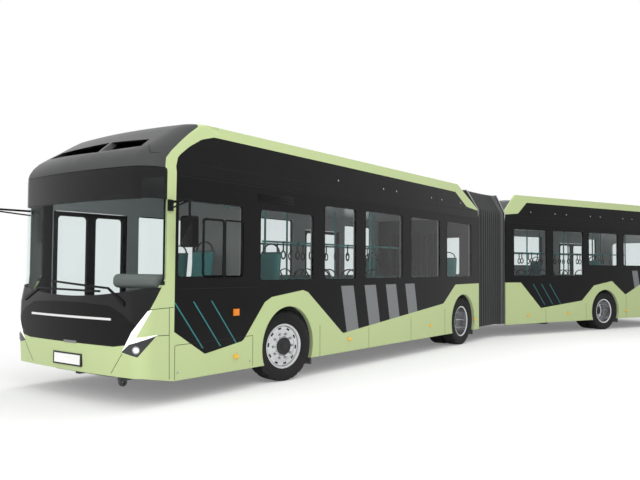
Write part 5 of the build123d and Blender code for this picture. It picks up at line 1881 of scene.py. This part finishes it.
    def post_trim(self) -> None:
        """Lines the post where the windscreen turns to the front door."""
        rows = []
        for z, edge in self.post_rows:
            stations = [edge + (self.post_front - edge) * i / 8 for i in range(9)]
            found = [
                Feeler.touch(("windscreen",), FRONT.point((x, -4.0, z)), Vector((0, 1, 0))) for x in stations
            ]
            rows.append([at - out * 0.035 for at, out in found])
        trim = Bench.round(Bench.band("post_trim", rows, 0.010), 0.003)
        self.hand_in(trim, "cab_plastic", "front_car", "cab_grey", 60.0)

    def liner(self) -> None:
        """Closes the dome's underside, so that its air slots look into a dark duct."""
        rows: list[list[Vector]] = [[], []]
        for i in range(25):
            y = 1.10 * (i / 12 - 1)
            rows[0].append(self.screen_at(y, 2.65) + Vector((-0.05, 0, 0.05)))
            rows[1].append(FRONT.point((1.62, y, 2.70)))
        liner = Bench.round(Bench.band("dome_liner", rows, 0.014), 0.004)
        self.hand_in(liner, "black_plastic_and_hole_shade", "front_car", "cab_grey")

    def dash(self) -> None:
        """Builds the padded dash hood in front of the driver."""
        hood = Bench.round(Bench.block("dash_hood", self.hood, FRONT.point(self.hood_at)), 0.065, 5)
        Bench.step(hood, lambda face: face.normal.x < -0.98, 0.012, (0.03, 0.0, 0.0))
        self.hand_in(hood, "dash_pad", "front_car", "cab_grey", 60.0)

    def build(self) -> None:
        """Builds the face's pieces."""
        self.plates()
        self.projectors()
        self.seams()
        self.sign_case()
        self.liner()
        self.post_trim()
        self.dash()


@dataclass
class Flanks(Maker):
    """Marker lamps, seams, grilles, fasteners and window frames of the sides."""

    front_skin: tuple[str, ...] = (
        "front_wall_left", "front_wall_right", "front_roof", "front_mask", "front_dome",
    )
    rear_skin: tuple[str, ...] = ("rear_wall_left", "rear_wall_right", "rear_roof", "rear_mask")
    markers: Edge = ((1.05, 0.446), (-1.48, 0.457), (-4.2, 0.486), (-6.2, 0.486))
    rear_markers: Edge = ((-1.19, 0.47), (-2.62, 0.47), (-4.95, 0.47), (-6.6, 0.47))
    dots: tuple[float, ...] = (-1.22, -2.555, -2.99, -4.31, -4.745, -5.6)
    rear_dots: tuple[float, ...] = (-1.33, -2.2, -2.62, -3.55, -3.95, -4.9, -5.3, -6.3)
    dots_z: float = 2.905
    front_left: tuple[Window, ...] = (
        (0.93, 2.03, 1.44, 2.35), (-0.56, 0.614, 1.385, 2.335), (-1.677, -0.816, 1.385, 2.495),
        (-3.154, -1.934, 1.385, 2.495), (-4.603, -3.443, 1.385, 2.495), (-6.052, -4.89, 1.385, 2.495),
    )
    front_right: tuple[Window, ...] = front_left[1:4] + ((-6.052, -4.96, 1.385, 2.495),)
    rear_left: tuple[Window, ...] = (
        (-1.845, -0.704, 1.385, 2.495), (-3.217, -2.062, 1.385, 2.495), (-4.631, -3.414, 1.645, 2.495),
        (-6.045, -4.858, 1.645, 2.495), (-7.11, -6.272, 1.645, 2.495),
    )
    rear_right: tuple[Window, ...] = rear_left[:3] + ((-7.15, -6.79, 1.645, 2.495),)

    def lamp(self, name: str, size: Point) -> Piece:
        """Models a small lamp with a stepped lens, its back at Y 0.

        Args:
            name: Piece's name.
            size: Lamp's size.

        Returns:
            The lamp.
        """
        lamp = Bench.block(name, size, (0, size[1] / 2, 0))
        Bench.step(lamp, facing((0, 1, 0)), size[2] * 0.14, (0.0, size[1] * 0.35, 0.0))
        return Bench.round(lamp, size[1] * 0.15, 2)

    def on_side(self, car: Car, skin: Sequence[str], side: int, x: float, z: float) -> Matrix:
        """Gives a placement on a side, with Y outwards.

        Args:
            car: The car.
            skin: Nodes that form its skin.
            side: 1 on the left, -1 on the right.
            x: Place along the car.
            z: Height.

        Returns:
            The matrix in the row frame.
        """
        way = car.place().to_3x3() @ Vector((0, -side, 0))
        at, out = Feeler.touch(skin, car.point((x, 3.0 * side, z)), way)
        up = (Vector((0, 0, 1)) - out * out.z).normalized()
        turn = Matrix((out.cross(up), out, up)).transposed()
        return Matrix.Translation(at) @ turn.to_4x4()

    def small_parts(self) -> None:
        """Fits the marker lamps, repeaters and fasteners."""
        plan = (
            (FRONT, "front_car", self.front_skin, self.markers, self.dots),
            (REAR, "rear_car", self.rear_skin, self.rear_markers, self.rear_dots),
        )
        for car, body, skin, markers, dots in plan:
            spots = [self.on_side(car, skin, side, x, z) for x, z in markers for side in SIDES]
            lamps = Bench.repeat(f"{body}_markers", self.lamp("marker_model", (0.085, 0.014, 0.055)), spots)
            self.hand_in(lamps, "pale_amber_lens", body, "lamp_lens")
            bolt = Bench.round(Bench.drum("bolt_model", 0.016, 0.006, (0, 0.003, 0), 16), 0.002)
            heads = [self.on_side(car, skin, side, x, self.dots_z) for x in dots for side in SIDES]
            fasteners = Bench.repeat(f"{body}_fasteners", bolt, heads)
            self.hand_in(fasteners, "steel", body, "roof_grey")
        spots = [self.on_side(FRONT, self.front_skin, side, x, 1.0) for side, x in ((1, 1.06), (-1, 0.72))]
        repeaters = Bench.repeat("side_repeaters", self.lamp("repeater_model", (0.10, 0.02, 0.085)), spots)
        self.hand_in(repeaters, "amber_lens", "front_car", "lamp_lens")
        locks = [self.on_side(FRONT, self.front_skin, 1, x, 0.36) for x in (1.999, 0.787)]
        lock = Bench.round(Bench.drum("lock_model", 0.014, 0.005, (0, 0.0025, 0), 16), 0.0015)
        flap_locks = Bench.repeat("flap_locks", lock, locks)
        self.hand_in(flap_locks, "steel", "front_car", "roof_grey")

    def grille(self) -> None:
        """Fits the slatted air grilles over the first side windows."""
        slat = Bench.round(Bench.block("slat_model", (0.72, 0.010, 0.014)), 0.003)
        places = [
            self.on_side(FRONT, self.front_skin, side, 0.295, 2.44 + 0.022 * i)
            @ Matrix.Translation((0, 0.004, 0)) @ Matrix.Rotation(0.35, 4, "X")
            for i in range(5) for side in SIDES
        ]
        grilles = Bench.repeat("air_grilles", slat, places)
        self.hand_in(grilles, "gloss_black", "front_car", "body_black")

    def seams(self) -> None:
        """Draws the joints between the side panels."""
        front = (
            ("upper", (1.70, 2.787), (-6.2, 2.787), 2), ("cant", (2.0, 2.618), (-6.4, 2.618), 2),
            ("panel_1", (-0.97, 2.795), (-0.97, 3.15), 2), ("panel_2", (-2.77, 2.795), (-2.77, 3.15), 2),
            ("panel_3", (-4.55, 2.795), (-4.55, 3.13), 2), ("waist", (2.03, 1.31), (0.66, 1.31), 1),
            ("flap_top", (2.04, 0.672), (0.74, 0.684), 1), ("flap_rear", (0.737, 0.684), (0.734, 0.291), 1),
            ("flap_front", (2.047, 0.667), (2.045, 0.282), 1), ("skirt_1", (-0.72, 0.72), (-0.72, 0.275), 2),
            ("skirt_2", (-2.05, 0.60), (-2.05, 0.275), 1), ("skirt_3", (-3.45, 0.70), (-3.45, 0.275), 1),
            ("skirt_4", (-4.80, 0.78), (-4.80, 0.275), 2),
        )
        rear = (
            ("upper", (-0.95, 2.787), (-7.0, 2.787), 2), ("cant", (-0.47, 2.618), (-7.2, 2.618), 2),
            ("panel_1", (-2.4, 2.795), (-2.4, 3.12), 2), ("panel_2", (-3.75, 2.795), (-3.75, 3.12), 2),
            ("panel_3", (-5.1, 2.795), (-5.1, 3.12), 2), ("skirt_1", (-1.80, 0.60), (-1.80, 0.275), 2),
            ("skirt_2", (-3.30, 0.70), (-3.30, 0.275), 2), ("skirt_3", (-4.95, 0.86), (-4.95, 0.275), 1),
            ("skirt_4", (-6.40, 1.10), (-6.40, 0.275), 1),
        )
        for car, body, skin, rows in (
            (FRONT, "front_car", self.front_skin, front), (REAR, "rear_car", self.rear_skin, rear),
        ):
            lines = []
            for name, first, last, count in rows:
                for side in SIDES[:count]:
                    points = [(first[0], 3.0 * side, first[1]), (last[0], 3.0 * side, last[1])]
                    found = Feeler.line(skin, car, points, (0.0, -side, 0.0), 0.4)
                    found = [spot for spot in found if abs((car.place().inverted() @ spot[0]).y) > 1.1]
                    lines.append(strip(f"{body}_{name}_{side}", found, 0.006, 0.0012))
            seams = Bench.join(f"{body}_seams", lines)
            self.hand_in(seams, "seam_shadow", body, "body_black")

    def frames(self) -> None:
        """Fits a thin seal round each side window and the sliding pane of the cab window."""
        plan = (
            (FRONT, "front_car", 1, self.front_left), (FRONT, "front_car", -1, self.front_right),
            (REAR, "rear_car", 1, self.rear_left), (REAR, "rear_car", -1, self.rear_right),
        )
        for car, body, side, windows in plan:
            seals = [
                self.seal(f"seal_{i}", car, side, window, 0.055, 0.014) for i, window in enumerate(windows)
            ]
            if car is FRONT and side == 1:
                seals.append(self.seal("slide_a", car, side, (1.263, 1.633, 1.44, 2.155), 0.05, 0.028))
                seals.append(self.seal("slide_b", car, side, (0.93, 1.263, 1.44, 2.155), 0.04, 0.022))
            hand = "left" if side == 1 else "right"
            piece = Bench.join(f"{body}_window_seals_{hand}", seals)
            self.hand_in(piece, "gloss_black", body, "body_black")

    def seal(self, name: str, car: Car, side: int, opening: Window, corner: float, width: float) -> Piece:
        """Models one window's seal as a flat ring with round corners.

        Args:
            name: Piece's name.
            car: The car.
            side: 1 on the left, -1 on the right.
            opening: Rear X, front X, bottom Z and top Z.
            corner: Corner radius.
            width: Seal's width.

        Returns:
            The seal.
        """
        x0, x1, z0, z1 = opening
        outline = []
        for cx, cz, start in ((x1, z1, 0), (x0, z1, 1), (x0, z0, 2), (x1, z0, 3)):
            ix = cx - corner if start in (0, 3) else cx + corner
            iz = cz - corner if start in (0, 1) else cz + corner
            for k in range(6):
                angle = (start + k / 5) * math.pi / 2
                outline.append((ix, iz, math.cos(angle), math.sin(angle)))
        rows: list[list[Vector]] = [[], []]
        for ix, iz, c, s in outline + outline[:1]:
            rows[0].append(car.point((ix + corner * c, side * (HALF_WIDTH - 0.004), iz + corner * s)))
            inner = corner - width
            rows[1].append(car.point((ix + inner * c, side * (HALF_WIDTH - 0.004), iz + inner * s)))
        return Bench.band(name, rows, 0.012)

    def build(self) -> None:
        """Builds the sides' pieces."""
        self.small_parts()
        self.grille()
        self.seams()
        self.frames()


@dataclass
class RoofTop(Maker):
    """Fans on the roof equipment."""

    front_fans: tuple[float, ...] = (-5.0, -4.2, -3.4, -2.7, -1.85, -1.15, -0.1, 0.8)
    rear_fans: tuple[float, ...] = (-1.5, -2.2, -3.15, -3.9, -5.1, -5.65, -6.2)

    def build(self) -> None:
        """Builds the fans of both cars."""
        shroud = Bench.drum("shroud", 0.26, 0.03, (0, 0.015, 0), 40)
        Bench.step(shroud, facing((0, 1, 0)), 0.03, (0.0, -0.022, 0.0))
        guards = [
            Bench.hoop(f"guard_{i}", 0.06 + 0.05 * i, 0.004, (0, 0.022, 0), (math.pi / 2, 0, 0))
            for i in range(4)
        ]
        bar = Bench.round(Bench.block("guard_bar", (0.48, 0.006, 0.012), (0, 0.024, 0)), 0.002)
        bars = Bench.repeat("guard_bars", bar, [Matrix.Rotation(math.pi * i / 4, 4, "Y") for i in range(4)])
        fan = Bench.join("fan_model", [Bench.round(shroud, 0.003), bars, *guards])
        fan.data.transform(Matrix.Rotation(math.pi / 2, 4, "X"))
        for car, end, stations in ((FRONT, "front", self.front_fans), (REAR, "rear", self.rear_fans)):
            copies = []
            for i, x in enumerate(stations):
                for y in (-0.36, 0.36):
                    top = car.point((x, y, 5.0))
                    at, _ = Feeler.touch((f"{end}_roof_packs",), top, Vector((0, 0, -1)))
                    copies.append(Bench.copy(fan, f"{end}_car_fan_{i}_{y}", Matrix.Translation(at)))
            fans = Bench.join(f"{end}_car_fans", copies)
            self.hand_in(fans, "black_plastic_and_hole_shade", f"{end}_car", "roof_grey")
        bpy.data.objects.remove(fan)


@dataclass
class TailEnd(Maker):
    """Blank plate, hatch joints and louvres of the tail."""

    skin: tuple[str, ...] = ("rear_mask", "rear_glass", "tail_lamps")
    hatch_y: float = 0.80
    hatch_z: tuple[float, float] = (0.62, 1.42)
    louvre_y: float = 0.62
    louvres_z: tuple[float, ...] = (1.00, 1.05, 1.10, 1.15, 1.20, 1.25)
    plate_y: float = 0.27
    plate_z: float = 0.80

    def feel(self, ends: Edge, step: float = 0.08) -> list[tuple[Vector, Vector]]:
        """Drops a line onto the tail."""
        return Feeler.line(self.skin, REAR, [(-7.5, y, z) for y, z in ends], (1.0, 0.0, 0.0), step)

    def build(self) -> None:
        """Builds the tail's pieces."""
        y, (low, high) = self.hatch_y, self.hatch_z
        seams = (
            ((-y, high), (y, high)), ((-y, low), (y, low)), ((-y, low), (-y, high)), ((y, low), (y, high)),
        )
        lines = [strip(f"hatch_{i}", self.feel(ends), 0.008, 0.0014) for i, ends in enumerate(seams)]
        hatch = Bench.join("tail_hatch_seams", lines)
        self.hand_in(hatch, "seam_shadow", "rear_car", "body_green")
        slats = [
            strip(f"slat_{i}", self.feel(((-self.louvre_y, z), (self.louvre_y, z))), 0.026, 0.008)
            for i, z in enumerate(self.louvres_z)
        ]
        louvres = Bench.join("tail_louvres", slats)
        self.hand_in(louvres, "black_plastic_and_hole_shade", "rear_car", "body_black")
        found = self.feel(((-self.plate_y, self.plate_z), (self.plate_y, self.plate_z)), 0.06)
        holder = strip("tail_plate_frame", found, 0.15, 0.012)
        self.hand_in(holder, "black_plastic_and_hole_shade", "rear_car", "chassis_black")
        blank = strip("tail_plate_blank", [(at + out * 0.012, out) for at, out in found], 0.115, 0.003)
        self.hand_in(blank, "plate_enamel", "rear_car", "lamp_lens")


@dataclass
class MirrorGlass(Maker):
    """Reflecting plates in the mirror heads."""

    heads: tuple[Point, ...] = ((2.11, 1.56, 1.96), (2.85, -1.64, 2.06))

    def build(self) -> None:
        """Builds both plates."""
        for (x, y, z), hand in zip(self.heads, ("left", "right")):
            at, _ = Feeler.touch(("mirrors",), FRONT.point((x - 0.6, y, z)), Vector((1, 0, 0)))
            pane = Bench.block(f"mirror_pane_{hand}", (0.004, 0.165, 0.31), (at.x - 0.001, at.y, at.z))
            Bench.step(pane, facing((-1, 0, 0)), 0.008, (0.001, 0.0, 0.0))
            self.hand_in(Bench.round(pane, 0.0008), "alloy", "front_car", "glass")


# Finish of each CAD node, by its name or the end of its name; the rest are chassis
NODE_FINISH = {
    "front_livery": ("front_wall_left", "front_wall_right", "front_roof"),
    "rear_livery": ("rear_wall_left", "rear_wall_right", "rear_roof"),
    "dome_livery": ("front_dome",),
    "mask_livery": ("front_mask",),
    "tail_livery": ("rear_mask",),
    "gloss_black": ("front_panel", "mirrors", "wipers", "_door_a", "_door_b"),
    "screen_glass": ("windscreen",),
    "side_glass": ("front_glass", "rear_glass", "_door_glass_a", "_door_glass_b"),
    "lamp_face": ("headlamps",),
    "red_lens": ("tail_lamps",),
    "cab_plastic": ("driver_cab",),
    "seat_cloth": ("front_seats", "rear_seats"),
    "pole_teal": ("front_rails", "rear_rails"),
    "roof_paint": ("front_roof_packs", "rear_roof_packs"),
    "bellows_cloth": ("bellows",),
    "floor_vinyl": ("front_underframe", "rear_underframe"),
    "tyre_rubber": ("_tyre_left", "_tyre_right", "_tyres_left", "_tyres_right"),
    "alloy": ("_rim_left", "_rim_right", "_rims_left", "_rims_right"),
}


def dress_nodes(wardrobe: Wardrobe) -> None:
    """Gives each CAD node its material.

    Args:
        wardrobe: The materials.
    """
    for name, node in frame["nodes"].items():
        looks = [look for look, endings in NODE_FINISH.items() if name.endswith(endings)]
        node.data.materials.clear()
        node.data.materials.append(wardrobe[looks[0] if looks else "chassis"])


class Studio:
    """Floor, light and camera."""

    LENS_PIXELS = 674.1438
    IMAGE_WIDTH = 640
    SENSOR = 36.0
    EYE = (7.2486, 7.1963, 1.5784)
    YAW, PITCH, ROLL = -2.5017, 0.0395, 0.0062
    SKY = 0.54

    def camera(self) -> None:
        """Sets the camera where the photograph was taken from."""
        data = bpy.data.cameras.new("studio_camera")
        data.sensor_width = self.SENSOR
        data.lens = self.LENS_PIXELS * self.SENSOR / self.IMAGE_WIDTH
        data.clip_end = 200.0
        flat = math.cos(self.PITCH)
        seen = Vector((math.cos(self.YAW) * flat, math.sin(self.YAW) * flat, math.sin(self.PITCH)))
        level = Vector((math.sin(self.YAW), -math.cos(self.YAW), 0.0))
        right = math.cos(self.ROLL) * level + math.sin(self.ROLL) * level.cross(seen)
        up = right.cross(seen)
        place = Matrix((right, up, -seen)).transposed().to_4x4()
        place.translation = FRONT.point(self.EYE)
        eye = bpy.data.objects.new("studio_camera", data)
        eye.matrix_world = place
        bpy.context.scene.collection.objects.link(eye)
        bpy.context.scene.camera = eye

    def floor(self) -> None:
        """Lays a pale floor under the wheels, which fades to white away from the bus."""
        Bench.clear()
        bpy.ops.mesh.primitive_plane_add(size=400.0)
        ground = Bench.named("studio_floor")
        finish = Finish("studio_floor")
        graph = finish.graph
        finish.set(Base_Color=(0.93, 0.93, 0.93, 1.0), Roughness=0.8, Specular_IOR_Level=0.05)
        oval = (1 / 11.0, 1 / 5.0, 0.0)
        near = graph.add("ShaderNodeVectorMath", {0: finish.here, 1: oval}, operation="MULTIPLY")
        far = graph.add("ShaderNodeVectorMath", {0: near.outputs[0]}, operation="LENGTH").outputs["Value"]
        fade = graph.add(
            "ShaderNodeMapRange", {"Value": far, 1: 0.9, 2: 1.7, 3: 0.19, 4: 1.0},
            interpolation_type="SMOOTHSTEP",
        ).outputs[0]
        white = graph.add("ShaderNodeEmission", {"Color": (1.0, 1.0, 1.0, 1.0), "Strength": 1.0})
        path = graph.add("ShaderNodeLightPath").outputs
        seen = graph.math("MAXIMUM", path["Is Camera Ray"], path["Is Glossy Ray"])
        share = graph.math("MULTIPLY", fade, seen)
        both = graph.add("ShaderNodeMixShader", {0: share, 1: finish.shader.outputs[0], 2: white.outputs[0]})
        finish.surface(both.outputs[0])
        ground.data.materials.append(finish.material)

    def light(self) -> None:
        """Lights the studio with a white world and soft panels."""
        world = bpy.data.worlds.new("studio_world")
        world.use_nodes = True
        graph = Graph(world.node_tree)
        sky = world.node_tree.nodes["Background"]
        sky.inputs[0].default_value = (1.0, 1.0, 1.0, 1.0)
        path = graph.add("ShaderNodeLightPath").outputs
        seen = graph.math("MAXIMUM", path["Is Camera Ray"], path["Is Transmission Ray"])
        seen = graph.math("MAXIMUM", seen, path["Is Glossy Ray"])
        graph.feed(sky.inputs[1], graph.math("ADD", graph.math("MULTIPLY", seen, 1.0 - self.SKY), self.SKY))
        bpy.context.scene.world = world
        for name, at, power, size in (
            ("key_panel", (5.0, 10.0, 9.0), 600.0, 8.0),
            ("top_panel", (-6.0, 0.0, 13.0), 1700.0, 18.0),
            ("front_panel_light", (11.0, 1.0, 5.0), 420.0, 7.0),
        ):
            data = bpy.data.lights.new(name, "AREA")
            data.energy = power
            data.size = size
            panel = bpy.data.objects.new(name, data)
            panel.location = FRONT.point(at)
            aim = FRONT.point((-3.0, 0.0, 1.0)) - panel.location
            panel.rotation_euler = aim.to_track_quat("-Z", "Y").to_euler()
            panel.visible_glossy = False
            bpy.context.scene.collection.objects.link(panel)


def main() -> None:
    """Builds the whole scene."""
    logging.basicConfig(level=logging.INFO)
    bpy.context.scene.view_settings.view_transform = "Standard"
    studio = Studio()
    studio.camera()
    wardrobe = Wardrobe()
    dress_nodes(wardrobe)
    Skins().build()
    for maker in (
        WheelSet, BellowsCover, Seating, Straps, FrontEnd, Flanks, RoofTop, TailEnd, MirrorGlass,
    ):
        maker(wardrobe).build()
    studio.floor()
    studio.light()
    log.info("scene ready")


if __name__ == "__main__":
    main()
